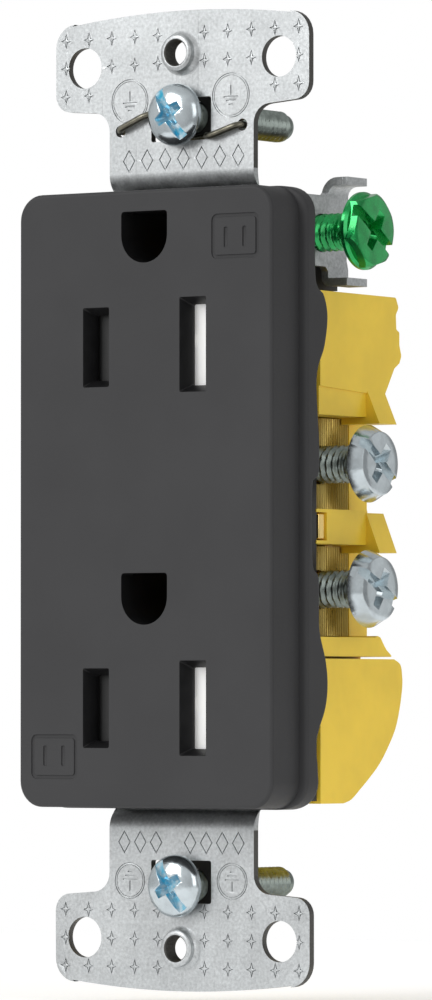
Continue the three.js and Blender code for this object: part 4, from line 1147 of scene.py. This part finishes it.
class OUTLET_OT_mounting_strap(bpy.types.Operator):
    """Galvanised strap with stamped ears, bent necks and the ground tab"""

    bl_idname = "outlet.mounting_strap"
    bl_label = "Mounting Strap"

    def execute(self, context):
        piece = strap_end("strap_with_ground_tab", True)
        absorb(piece, strap_end("lower_end", False), web(), ground_tab())
        round_edges(piece, 0.06, 2, 40.0)
        finish(piece, "device", galvanised_steel(), ("mounting_strap",), 38.0)
        self.sheared_and_shaded_faces(piece.data)
        return {"FINISHED"}

    def sheared_and_shaded_faces(self, mesh):
        """Gives the sheet's sheared edges and hole walls the dark bare-steel finish, which also paints
        shade into the holes and the collar's bore.
        """
        mesh.materials.append(sheared_edge_and_shade())
        count = len(mesh.polygons)
        normal, centre = np.empty(count * 3), np.empty(count * 3)
        mesh.polygons.foreach_get("normal", normal)
        mesh.polygons.foreach_get("center", centre)
        normal, centre = np.abs(normal.reshape(-1, 3)), centre.reshape(-1, 3) * 1000
        x, y, z = centre.T
        z = np.abs(z)
        flat = (z > BEND_START) & (y > sizes("stamp_depth")) & (y < sizes("strap_sheet"))
        bore = np.hypot(x, z - PLATE_SCREW_Z) < sum(COLLAR_BORE) + 0.04
        # Sheared edges are bare steel; the bore faces are darkened as painted shade.
        sheared_and_shaded = (flat & (normal[:, 1] < 0.3)) | (bore & (normal[:, 1] < 0.9))
        mesh.polygons.foreach_set("material_index", sheared_and_shaded.astype(np.int32))


class OUTLET_OT_ground_wire(bpy.types.Operator):
    """Spring wire that bears on the upper mounting screw"""

    bl_idname = "outlet.ground_wire"
    bl_label = "Auto-Ground Wire"

    def execute(self, context):
        path = smooth_path([
            (-8.05, 2.4, 40.25), (-8.03, 0.3, 40.28), (-7.75, -0.45, 40.42), (-7.2, -0.66, 40.65),
            (-5.6, -0.68, 41.3), (-4.45, -0.62, 41.75), (-3.6, -0.1, 41.95), (-3.1, 0.8, 41.4),
            (-2.6, 1.5, 40.2), (0.0, 1.65, 39.3), (2.4, 1.4, 39.3), (3.1, 0.5, 39.3), (3.5, -0.15, 39.3),
            (4.3, -0.62, 39.25), (5.6, -0.68, 39.6), (7.2, -0.6, 40.1), (7.85, -0.2, 40.28),
            (8.03, 0.4, 40.3), (8.05, 2.4, 40.25),
        ])
        piece = mesh_object("auto_ground_spring", tube(path, 0.37, 16))
        finish(piece, "device", bronze_wire_and_shade(), ("auto_ground_wire",), 60.0)
        return {"FINISHED"}


# ---- screws -------------------------------------------------------------------------------------

MOUNT_SHANK, MOUNT_HEAD = 1.75, 3.4          # radii
TERMINAL_SHANK, TERMINAL_HEAD = 2.08, 4.22
TERMINAL_SPIN = {"upper": -37, "lower": -28}
ASSEMBLY_SHANK, ASSEMBLY_HEAD = 1.25, 2.55
HEAD_TALL = 1.9                              # height of a mounting, terminal or ground screw's head
ASSEMBLY_TALL = 1.6
RECESS_DEPTH = 0.77                          # as a part of the head's height
WASHER_BORE = 1.8


def threaded(radius, depth, start, stop, pitch, sides=40, per_pitch=10):
    """A threaded shank along +Y.

    Its radius at height y and angle a is the crest less a V-shaped depth, whose phase is
    y / pitch - a / 360 degrees, so the crests climb one pitch in a turn; the V fades to nothing
    at both ends.
    """
    count = int((stop - start) / pitch * per_pitch)
    y = np.linspace(start, stop, count)
    a = np.linspace(0, 2 * math.pi, sides, endpoint=False)
    phase = (y[:, None] / pitch - a / (2 * math.pi)) % 1.0
    v = np.clip(np.abs(phase - 0.5) * 2 * 1.15 - 0.05, 0, 1)
    fade = np.clip(np.minimum(y - start, stop - y) / (0.6 * pitch), 0, 1)[:, None]
    r = radius - depth * (v * fade + (1 - fade))
    loops = np.stack([r * np.cos(a), np.broadcast_to(y[:, None], r.shape), r * np.sin(a)], -1)
    return rings(loops).flipped()


def head_profile(head, height, crown, draft):
    """A head's section: flat bearing face, rim leaning in by its draft, rounded shoulder, low crown.

    The shoulder is a quarter ellipse, crown wide and high as parts of the head's radius and height.
    """
    wide, high = crown[0] * head, crown[1] * height
    a = np.radians(np.linspace(0, 90, 9 if wide > 0.6 else 3))
    dome = 0.06 * height
    top = head - draft
    sweep = [(top - wide * (1 - math.cos(t)), -(height - dome - high) - high * math.sin(t)) for t in a]
    inner = [(r * (top - wide), -height + dome * r * r) for r in (0.75, 0.5, 0.25, 0.0)]
    return [(0.0, 0.0), (head - 0.15, 0.0), (head, -0.15), *sweep, *inner]


def cross(size, wing, spread):
    """A cross with wings that widen outwards."""
    inner = wing * spread
    quarter = [(size, -wing), (size, wing), (inner, inner)]
    points = []
    for turn in range(4):
        c, s = round(math.cos(turn * math.pi / 2)), round(math.sin(turn * math.pi / 2))
        points += [(x * c - z * s, x * s + z * c) for x, z in quarter]
    return np.array(points, float)


def combination_recess(head, height, slot):
    """Cutters of a combined slot and cross: a straight slot, and a cross that narrows downwards."""
    top = -height - 0.3
    wide = cross(head * 0.62, slot * 1.05, 1.25)
    deep = cross(head * 0.26, slot * 0.5, 1.25)
    mouth = taper(wide, deep, "y", top, -height + height * RECESS_DEPTH)
    across = prism(rectangle((0, 0), 2 * head + 1, 2 * slot), "y", top, -height * 0.5)
    return [across, mouth]


def screw_piece(name, shank, head, height, length_mm, recess_look, crown, hexagon=False, spin=0.0,
                slot=0.62, tip=0.5, draft=0.0, thread_look=None):
    """A machine screw along +Y with its bearing face at 0, turned by spin in degrees.
    """
    piece = mesh_object(name, turned(head_profile(head, height, crown, draft), 72))
    outward(piece)
    extras = []
    if hexagon:
        six = arc((0, 0), head, 14, 374, 6)[:-1]
        combine(piece, [prism(six, "y", -height - 1, 1)], "INTERSECT")
        ring = turned([(3.0, 0.01), (head - 0.1, 0.01), (head, -0.1), (head, -0.45), (head - 0.3, -0.72),
                       (3.0, -0.74), (3.0, 0.01)], 70)
        extras.append(mesh_object("flange", Surface(ring.points, grid_faces(7, 70))))
    turn = math.radians(spin)
    cuts = []
    for surface in combination_recess(head, height, slot):
        x, z = surface.points[:, 0].copy(), surface.points[:, 2].copy()
        surface.points[:, 0] = x * math.cos(turn) - z * math.sin(turn)
        surface.points[:, 2] = x * math.sin(turn) + z * math.cos(turn)
        cuts.append(surface)
    piece.data.materials.append(None)
    combine(piece, cuts, "DIFFERENCE", recess_look)
    round_edges(piece, 0.07, 2, 38.0)
    pitch = sizes("thread_pitch")
    depth = pitch * 0.45
    root = shank - depth + 0.02
    neck = turned([(0, -0.4), (root, -0.4), (root, 0.5), (0, 0.5)], 40)
    thread = threaded(shank, depth, 0.15, length_mm - tip, pitch)
    end_root = shank - depth * 0.9
    start = length_mm - tip - 0.3
    end = turned([(0, start), (end_root, start), (end_root, length_mm - tip * 0.8),
                  (end_root - tip * 0.6, length_mm), (0, length_mm)], 40)
    for part in (neck, thread, end):
        shank_part = mesh_object("shank", part)
        shank_part.data.polygons.foreach_set("material_index", np.full(len(part.faces), 2, np.int32))
        extras.append(shank_part)
    # The shank takes the darker thread finish: painted shade.
    piece.data.materials.append(thread_look or shaded_rolled_thread())
    absorb(piece, *extras)
    return piece


def seat(piece, turn_rule, offset):
    """Turns a screw made along +Y to its own axis and moves it to its place."""
    reshape(piece, lambda p: turn_rule(p) + np.asarray(offset, float))
    outward(piece)


def to_left(p):
    return np.column_stack([-p[:, 1], p[:, 0], p[:, 2]])


def to_right(p):
    return np.column_stack([p[:, 1], -p[:, 0], p[:, 2]])


class OUTLET_OT_mounting_screws(bpy.types.Operator):
    """Two combination-head mounting screws with captive washers"""

    bl_idname = "outlet.mounting_screws"
    bl_label = "Mounting Screws"

    def execute(self, context):
        for level, sign in zip(LEVELS, (1, -1)):
            name = f"mounting_screw_{level}"
            low, high = node_box(name)
            under = low[1] + HEAD_TALL
            piece = screw_piece(f"{name}_turned", MOUNT_SHANK, MOUNT_HEAD, HEAD_TALL, high[1] - under,
                                zinc_recess(), (0.8, 0.85), spin=-58, slot=0.56, tip=0.9)
            seat(piece, lambda p: p, (0, under, sign * MOUNT_Z))
            finish(piece, name, zinc_plate(), (name,), 30.0)
            low, high = node_box(f"captive_washer_{level}")
            middle_y = (low[1] + high[1]) / 2
            r, t = (high[0] - low[0]) / 2, (high[1] - low[1]) / 2
            profile = [(WASHER_BORE, -t), (r - 0.1, -t), (r, -t + 0.1), (r, t - 0.1), (r - 0.1, t),
                       (WASHER_BORE, t), (WASHER_BORE, -t)]
            ring = turned(profile, 48)
            washer = mesh_object(f"captive_washer_{level}_fibre", Surface(ring.points, grid_faces(7, 48)))
            reshape(washer, lambda p, y=middle_y, z=sign * MOUNT_Z: p + (0, y, z))
            # The washer's near-black fibre also paints shade behind the mounting slot.
            finish(washer, name, fibre_with_painted_shade(), (f"captive_washer_{level}",))
        return {"FINISHED"}


class OUTLET_OT_terminal_screws(bpy.types.Operator):
    """Backed-out terminal screws: bright on the neutral side, brass on the line side"""

    bl_idname = "outlet.terminal_screws"
    bl_label = "Terminal Screws"

    def execute(self, context):
        for name, side in SIDES.items():
            for level in LEVELS:
                node_name = f"{name}_screw_{level}"
                low, high = node_box(node_name)
                look = zinc_plate() if name == "neutral" else brass_strip()
                reach = high[0] - low[0] - HEAD_TALL
                piece = screw_piece(f"{node_name}_turned", TERMINAL_SHANK, TERMINAL_HEAD, HEAD_TALL, reach,
                                    look, (0.06, 0.18), spin=TERMINAL_SPIN[level], draft=0.68,
                                    thread_look=look if name == "line" else None)
                under = high[0] - HEAD_TALL if side > 0 else low[0] + HEAD_TALL
                centre = (low + high) / 2
                seat(piece, to_left if side > 0 else to_right, (under, centre[1], centre[2]))
                finish(piece, node_name, look, (node_name,), 30.0)
        return {"FINISHED"}


class OUTLET_OT_ground_screw(bpy.types.Operator):
    """Green six-sided ground screw"""

    bl_idname = "outlet.ground_screw"
    bl_label = "Ground Screw"

    def execute(self, context):
        low, high = node_box("ground_screw")
        reach = high[0] - low[0] - HEAD_TALL
        piece = screw_piece("ground_screw_turned", TERMINAL_SHANK, TERMINAL_HEAD, HEAD_TALL, reach,
                            green_zinc(), (0.2, 0.4), hexagon=True, spin=-32, thread_look=green_zinc())
        seat(piece, to_left, (high[0] - HEAD_TALL, GROUND_SCREW[1], GROUND_SCREW[2]))
        finish(piece, "ground_screw", green_zinc(), ("ground_screw",), 30.0)
        return {"FINISHED"}


class OUTLET_OT_assembly_screws(bpy.types.Operator):
    """Long screws that hold the rear body to the cover"""

    bl_idname = "outlet.assembly_screws"
    bl_label = "Assembly Screws"

    def execute(self, context):
        for level in LEVELS:
            node_name = f"assembly_screw_{level}"
            low, high = node_box(node_name)
            under = high[1] - ASSEMBLY_TALL
            piece = screw_piece(f"{node_name}_turned", ASSEMBLY_SHANK, ASSEMBLY_HEAD, ASSEMBLY_TALL,
                                under - low[1], zinc_plate(), (0.7, 0.8), slot=0.4)
            seat(piece, lambda p: p * (-1, -1, 1), (0, under, BLADE_Z[level]))
            finish(piece, "device", zinc_plate(), (node_name,), 30.0)
        return {"FINISHED"}


# ---- rear body ----------------------------------------------------------------------------------

BODY_FRONT = BODY_LOW[1]
BODY_HALF = 13.5
CORE_HALF = 8.7
BAR_X = 13.3
BAR_BACK = BODY_FRONT + 9.3
RIB = (BODY_FRONT + 10.1, BODY_FRONT + 12.6)
RIB_X = BODY_HIGH[0]
RIB_Z = ((12.4, 8.45), (-1.25, -5.6))
REAR = BODY_FRONT + 15.5
BODY_TOP = 32.8
BLOCK_Z = (12.5, 22.6)
LOW_BLOCK_TOP = -17.15
BUS_SLOT = (8.7, 10.1)            # from the inside out, in X
BUS_SLOT_FLOOR = 18.25
CAVITY_FLOOR = 15.3               # of the blade contacts and ground contacts
SCREW_BORE = 1.55
SCREW_SEAT = 2.9
TERMINAL_POCKET = 2.68
WIRE_X = 7.7
WIRE_RADIUS = 1.05
WIRE_FUNNEL = ((1.0, 21.3), (1.75, 22.05))


def side_prism(points, radii, x0, x1, steps=5):
    """An outline in Y and Z carried across in X."""
    return prism(rounded(points, radii, steps), "x", x0, x1)


def body_parts():
    """The rear body's upper block, and the other blocks, bars and ribs that are joined to it."""
    front, top = BODY_FRONT, BODY_TOP
    block_low, block_high = BLOCK_Z
    upper = side_prism([
        (front, block_high), (front, block_low - 0.2), (19.5, block_low - 0.9), (REAR - 0.9, 14.7),
        (REAR + 0.1, 15.3), (REAR + 0.5, 16.1), (REAR + 0.1, 17.3), (REAR + 0.1, 18.7), (REAR - 0.5, 19.0),
        (REAR - 0.6, 20.6), (REAR - 0.05, 21.4), (REAR - 0.6, block_high - 0.1),
    ], [0, 0, 0.5, 0.3, 0.2, 0.5, 0.2, 0.2, 0.2, 0.3, 0.4, 0.4], -BODY_HALF, BODY_HALF)
    left = side_prism([
        (front, top), (front, block_high - 1), (REAR - 0.7, block_high - 1), (REAR - 0.7, 27.0),
        (17.2, top),
    ], [0, 0, 0, 4.0, 3.0], -BODY_HALF, 4.0)
    low_top = LOW_BLOCK_TOP
    fall = smooth_path([
        (11.4, -top, 0), (12.9, -32.4, 0), (14.35, -31.5, 0), (16.6, -30.0, 0), (18.55, -28.5, 0),
        (20.3, -26.6, 0), (21.66, -24.7, 0), (22.5, -22.5, 0), (23.0, -20.3, 0), (23.0, -19.0, 0),
        (22.65, -17.75, 0), (21.4, low_top, 0),
    ], 4)[:, :2]
    lower = prism(np.vstack([[(front, -top)], fall, [(front, low_top)]]), "x", -BODY_HALF, BODY_HALF)
    core = box((-CORE_HALF, CORE_HALF), (front, front + 15.1), (-24.2, block_low + 2))
    wall = box((-9.6, 9.6), (18.35, front + 15.0), (-16.9, block_low + 1))
    bars = [
        box((-BAR_X, BAR_X), (front, BAR_BACK + 0.2), (9.2, block_low + 0.6)),
        box((-BAR_X, BAR_X), (6.45, BAR_BACK + 0.2), (-4.75, -1.0)),
        side_prism([
            (front, -16.9), (21.4, -16.9), (20.2, -16.15), (19.66, -15.6), (19.0, -14.8), (18.4, -14.6),
            (18.0, -14.8), (front, -14.8),
        ], [0, 0.1, 0.4, 0.4, 0.3, 0.3, 0.1, 0], -BAR_X, BAR_X),
    ]
    ribs = []
    for high, low in RIB_Z:
        front_face = np.array([(-RIB_X, low), (RIB_X, low), (BAR_X + 0.05, high), (-BAR_X - 0.05, high)])
        ribs.append(prism(front_face, "y", BAR_BACK - 0.1, RIB[1]))
    return upper, [left, lower, core, wall, *bars, *ribs]


def body_cuts():
    """Everything cut from the rear body: bus slots, contact cavities, screw bores and wire holes."""
    front = 5.0
    cuts = []
    for name, side in SIDES.items():
        def span(a, b):
            return (a, b) if side > 0 else (-b, -a)
        slit = span(*BUS_SLOT)
        cuts.append(box(slit, (front, 12.3), (BLADE_Z["lower"] - 3, BLADE_Z["upper"] + 3)))
        for low, high in PLATE_ZONES:
            cuts.append(box(slit, (front, BUS_SLOT_FLOOR), (low - 0.05, high + 0.05)))
        cuts.append(box(span(BUS_SLOT[0], BAR_X + 2), (front, 8.45), (-4.4, -1.35), 0.15))
        cuts.append(box(slit, (front, 8.9), (-5.2, -0.6)))
        for level in LEVELS:
            z = BLADE_Z[level]
            cuts.append(box(span(4.15, BUS_SLOT[1]), (front, CAVITY_FLOOR), (z - 5.1, z + 5.1)))
            cuts.append(prism(circle(TERMINAL[level][1:], TERMINAL_POCKET, 32), "x", *span(3.1, 9.5)))
            z = middle(f"{name}_wire_clip_{level}")[2]
            cuts.append(box(span(5.2, 8.9), (9.2, 17.9), (z - 1.6, z + 1.6)))
            centre = (side * WIRE_X, z)
            (small, near), (large, far) = WIRE_FUNNEL
            cuts.append(prism(circle(centre, WIRE_RADIUS, 24), "y", 17, 24))
            cuts.append(taper(circle(centre, small, 24), circle(centre, large, 24), "y", near, far))
    for level in LEVELS:
        z = GROUND_Z[level]
        cuts.append(box((-2.5, 2.5), (front, CAVITY_FLOOR), (z - 3.1, z + 3.1)))
        centre = (0, BLADE_Z[level])
        cuts.append(prism(circle(centre, SCREW_BORE, 24), "y", front, 25))
        cuts.append(prism(circle(centre, SCREW_SEAT, 36), "y", REAR - 1.9, 25))
    return cuts


class OUTLET_OT_back_body(bpy.types.Operator):
    """Yellow rear body: blocks, separator bars, flared ribs and rear wire holes"""

    bl_idname = "outlet.back_body"
    bl_label = "Rear Body"

    def execute(self, context):
        base, parts = body_parts()
        piece = solid("back_body_moulding", base, parts, body_cuts())
        round_edges(piece, sizes("body_round"), 3, 30.0)
        finish(piece, "device", body_polyester(), ("back_body",), 36.0)
        return {"FINISHED"}


# ---- buses ----------------------------------------------------------------------------------------

BUS_X = (9.0, 9.8)
PLATE_ZONES = ((-14.65, -4.9), (-0.85, 9.05))
FLUTE_DEPTH = 0.34
PLATE_HOLE_RADIUS = 2.14
CONTACT_HALF = 3.0
CONTACT_BACK = (14.4, 15.0)
CONTACT_LEAF = 0.55


def serrated(x, y, z, pitch):
    """A plate whose outer face is fluted: its X drops by a depth times (1 - |sin|) along Y."""
    count = int((y[1] - y[0]) / pitch * 6)
    ys = np.linspace(y[0], y[1], count)
    face = x[1] - FLUTE_DEPTH * (1 - np.abs(np.sin(np.pi * (ys - y[0]) / pitch)))
    outline = np.vstack([np.column_stack([face, ys]), [(x[0], y[1]), (x[0], y[0])]])
    return prism(outline, "z", z[0], z[1])


def contact(z):
    """A double-wipe contact: two leaves joined at the back, waisted where they grip a blade."""
    leaf_end, back = CONTACT_BACK
    depth = np.linspace(BUS_LOW[1], leaf_end, 14)
    t = (depth - depth[0]) / (depth[-1] - depth[0])
    gap = 0.65 + 0.75 * (1 - np.exp(-((t - 0.42) / 0.3) ** 2))
    inner_right = np.column_stack([BLADE_X + gap, depth])
    inner_left = np.column_stack([BLADE_X - gap, depth])
    outer_right = inner_right + (CONTACT_LEAF, 0.0)
    outer_left = inner_left - (CONTACT_LEAF, 0.0)
    outline = np.vstack([
        inner_left, inner_right[::-1], outer_right, [(BLADE_X + 1.6, back), (BLADE_X - 1.6, back)],
        outer_left[::-1],
    ])
    return prism(outline[::-1], "z", z - CONTACT_HALF, z + CONTACT_HALF)


def bus_surfaces(side):
    """A side's strip with its contacts, its break-off tab, and each terminal plate with its hole."""
    x0, x1 = BUS_X
    y0, y1 = BUS_LOW[1], BUS_HIGH[1]
    plates = []
    for level, zone in zip(LEVELS, PLATE_ZONES[::-1]):
        hole = prism(circle(TERMINAL[level][1:], PLATE_HOLE_RADIUS, 40), "x", x0 - 1, x1 + 1.2)
        plates.append((serrated(BUS_X, (y0, y1), zone, sizes("serration")), hole))
    strip = box((x0, x1 - 0.05), (y0, 8.4), (-5.8, 0.0))
    for z in BLADE_Z.values():
        ends = (8.0, z + 2.7) if z > 0 else (z - 2.7, -13.6)
        strip += box((x0, x1 - 0.02), (y0, 12.0), ends)
        strip += box((7.2, 9.1), (10.4, 12.0), (z - 1.5, z + 1.5))
        strip += contact(z)
    tab = box((9.4, BUS_HIGH[0] + 0.2), (y0, 8.38), (-4.25, -1.5), 0.2)
    if side > 0:
        return strip, tab, plates
    return strip.mirrored(), tab.mirrored(), [(plate.mirrored(), hole.mirrored()) for plate, hole in plates]


class OUTLET_OT_buses(bpy.types.Operator):
    """Neutral and line buses: fluted terminal plates, break-off tabs and blade contacts"""

    bl_idname = "outlet.buses"
    bl_label = "Buses"

    def execute(self, context):
        for name, side in SIDES.items():
            strip, tab, plates = bus_surfaces(side)
            look = nickel_strip() if name == "neutral" else brass_strip()
            piece = mesh_object(f"{name}_bus_strip", strip)
            outward(piece)
            absorb(piece, *[solid("plate", plate, cut=[hole]) for plate, hole in plates])
            finish(piece, "device", look, (f"{name}_bus",), 20.0)
            sheared = mesh_object(f"{name}_break_off_tab", tab)
            # The break-off tab's pale brass is partly a painted highlight.
            finish(sheared, "device", sheared_brass_and_highlight())
        return {"FINISHED"}


# ---- shutters, springs and the pieces that keep their frame shape --------------------------------

SLIDE_HALF = 4.9
COIL_RADIUS = 0.66
COIL_WIRE = 0.12
COIL_TURNS = 9


class OUTLET_OT_shutters(bpy.types.Operator):
    """Shutter slides with their wedge faces, and coil springs behind them"""

    bl_idname = "outlet.shutters"
    bl_label = "Shutters"

    def execute(self, context):
        for name, side in SIDES.items():
            for level in LEVELS:
                node_name = f"{name}_shutter_{level}"
                low, high = node_box(node_name)
                z = BLADE_Z[level]
                y0, y1 = low[1], high[1]
                outline = rounded([(4.3, y1), (4.3, y0 + 1.9), (4.86, y0), (9.3, y0), (9.3, y1)][::-1],
                                  [0.1, 0.2, 0.08, 0.1, 0.1], 3)
                slide = prism(outline, "z", z - SLIDE_HALF, z + SLIDE_HALF)
                nub = box((4.42, 5.4), (y0 + 0.01, y0 + 1.0), (z - 0.1, z + 1.15), 0.1)
                pocket = box((6.6, 10.5), (-4.1, -1.5), (z - 1.1, z + 1.1))
                if side < 0:
                    slide, nub, pocket = (part.mirrored() for part in (slide, nub, pocket))
                piece = solid(f"{node_name}_slide", slide, cut=[pocket])
                catch = mesh_object("catch", nub)
                outward(catch)
                absorb(piece, catch)
                # The line slides are black, a part colour that also stands in for the shade in the line
                # slots.
                look = acetal() if name == "neutral" else black_phenolic()
                finish(piece, node_name, look, (node_name,))
                self.spring(f"{name}_shutter_spring_{level}")
        return {"FINISHED"}

    def spring(self, node_name):
        """A coil: the point at turn t is on a circle of the coil's radius, a pitch further along."""
        low, high = node_box(node_name)
        centre = (low + high) / 2
        t = np.linspace(0, COIL_TURNS, COIL_TURNS * 16)
        inside = COIL_WIRE + 0.01
        x = low[0] + inside + (high[0] - low[0] - 2 * inside) * t / COIL_TURNS
        path = np.column_stack([x, centre[1] + COIL_RADIUS * np.cos(2 * np.pi * t),
                                centre[2] + COIL_RADIUS * np.sin(2 * np.pi * t)])
        piece = mesh_object(f"{node_name}_coil", tube(path, COIL_WIRE, 6))
        finish(piece, "device", bronze_wire_and_shade(), (node_name,), 60.0)


class OUTLET_OT_inner_pieces(bpy.types.Operator):
    """Rivets, and finishes for the insulator, trays, clips and ground contacts"""

    bl_idname = "outlet.inner_pieces"
    bl_label = "Inner Pieces"

    def execute(self, context):
        for level in LEVELS:
            for place_name in ("high", "low"):
                self.rivet(f"ground_rivet_{level}_{place_name}")
        looks = {"inner_insulator": black_phenolic()}
        for level in LEVELS:
            looks[f"shutter_tray_{level}"] = black_phenolic()
            looks[f"ground_contact_{level}"] = brass_strip()
            for name in SIDES:
                looks[f"{name}_wire_clip_{level}"] = brass_strip()
        for node_name, look in looks.items():
            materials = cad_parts[node_name].data.materials
            materials.clear()
            materials.append(look)
        return {"FINISHED"}

    def rivet(self, node_name):
        """A rivet with a domed head in front and a set one behind."""
        low, high = node_box(node_name)
        z = (low[2] + high[2]) / 2
        y0, y1 = low[1], high[1]
        profile = [
            (0, y0), (0.45, y0 + 0.01), (0.85, y0 + 0.16), (1.02, y0 + 0.38), (1.02, y0 + 0.5),
            (0.6, y0 + 0.5), (0.6, y1 - 0.5), (0.84, y1 - 0.5), (0.84, y1 - 0.3), (0.6, y1 - 0.04), (0, y1),
        ]
        piece = mesh_object(f"{node_name}_set", turned(profile, 28, (0, 0, z)))
        finish(piece, "device", nickel_strip(), (node_name,), 40.0)


# ---- stage ------------------------------------------------------------------------------------------

CAMERA = (0.4355, -0.6234, -0.0223)
LENS = 253.3
SHIFT_X = 0.0349


def facing_middle(place_m):
    """The rotation that turns a light or camera from its place to the middle of the outlet."""
    return (-Vector(place_m)).to_track_quat("-Z", "Y").to_euler()


def area_light(name, place_m, size, watts):
    data = bpy.data.lights.new(name, "AREA")
    data.shape = "RECTANGLE"
    data.size, data.size_y = size
    data.energy = watts
    light = bpy.data.objects.new(name, data)
    light.location = place_m
    light.rotation_euler = facing_middle(place_m)
    bpy.context.scene.collection.objects.link(light)


class OUTLET_OT_stage(bpy.types.Operator):
    """Pale floor, soft studio lights and the camera"""

    bl_idname = "outlet.stage"
    bl_label = "Studio Stage"

    def execute(self, context):
        scene = context.scene
        self.floor()
        self.room(scene)
        area_light("key_softbox", (-0.35, -0.75, 0.45), (0.5, 0.5), 4.0)
        area_light("side_softbox", (0.75, -0.40, 0.25), (0.4, 0.6), 1.1)
        area_light("rear_softbox", (0.52, 0.75, 0.06), (0.5, 0.9), 0.45)
        scene.view_settings.view_transform = "Standard"
        camera = bpy.data.cameras.new("camera")
        camera.lens = LENS
        camera.sensor_width = 36.0
        camera.shift_x = SHIFT_X
        camera.clip_end = 20.0
        holder = bpy.data.objects.new("camera", camera)
        holder.location = CAMERA
        holder.rotation_euler = facing_middle(CAMERA)
        scene.collection.objects.link(holder)
        scene.camera = holder
        return {"FINISHED"}

    def room(self, scene):
        """A white room, brightest up and to the front left, seen as plain white behind the outlet."""
        world = scene.world or bpy.data.worlds.new("studio")
        scene.world = world
        world.use_nodes = True
        tree = world.node_tree
        way = node(tree, "TexCoord", out="Generated")
        brightest = tuple(Vector((-0.45, -0.70, 0.55)).normalized())
        toward = node(tree, "VectorMath", {"operation": "DOT_PRODUCT"}, "Value", i0=way, i1=brightest)
        level = node(tree, "MapRange", Value=toward, i1=-0.6, i2=0.8, i3=0.36, i4=0.70)
        seen = node(tree, "LightPath", out="Is Camera Ray")
        strength = node(tree, "Mix", {"data_type": "FLOAT"}, i0=seen, i2=level, i3=1.0)
        node(tree, tree.nodes["Background"], Color=(1.0, 1.0, 1.0, 1.0), Strength=strength)

    def floor(self):
        """A flat board just under the outlet."""
        top = STRAP_LOW[2] - 1.5
        floor = mesh_object("studio_floor", box((-170, 170), (-150, 190), (top - 4, top), 1.0))
        outward(floor)
        floor.data.materials.append(opal_table())


# ---- the add-on ---------------------------------------------------------------------------------------

BUILDERS = (
    OUTLET_OT_stage, OUTLET_OT_front_cover, OUTLET_OT_mounting_strap, OUTLET_OT_ground_wire,
    OUTLET_OT_mounting_screws, OUTLET_OT_terminal_screws, OUTLET_OT_ground_screw,
    OUTLET_OT_assembly_screws, OUTLET_OT_back_body, OUTLET_OT_buses, OUTLET_OT_shutters,
    OUTLET_OT_inner_pieces,
)


class OUTLET_PT_panel(bpy.types.Panel):
    """Lists the outlet's sizes, colours and builders"""

    bl_idname = "OUTLET_PT_panel"
    bl_label = "Duplex Wall Outlet"
    bl_space_type = "VIEW_3D"
    bl_region_type = "UI"
    bl_category = "Outlet"

    def draw(self, context):
        for group in (context.scene.outlet_sizes, context.scene.outlet_colours):
            column = self.layout.column(align=True)
            for name in group.__annotations__:
                column.prop(group, name)
        for builder in BUILDERS:
            self.layout.operator(builder.bl_idname)


CLASSES = (OutletSizes, OutletColours, *BUILDERS, OUTLET_PT_panel)


def register():
    for cls in CLASSES:
        bpy.utils.register_class(cls)
    bpy.types.Scene.outlet_sizes = bpy.props.PointerProperty(type=OutletSizes)
    bpy.types.Scene.outlet_colours = bpy.props.PointerProperty(type=OutletColours)


def unregister():
    del bpy.types.Scene.outlet_colours
    del bpy.types.Scene.outlet_sizes
    for cls in reversed(CLASSES):
        bpy.utils.unregister_class(cls)


def main():
    register()
    for builder in BUILDERS:
        family, name = builder.bl_idname.split(".")
        getattr(getattr(bpy.ops, family), name)()


if __name__ == "__main__":
    main()
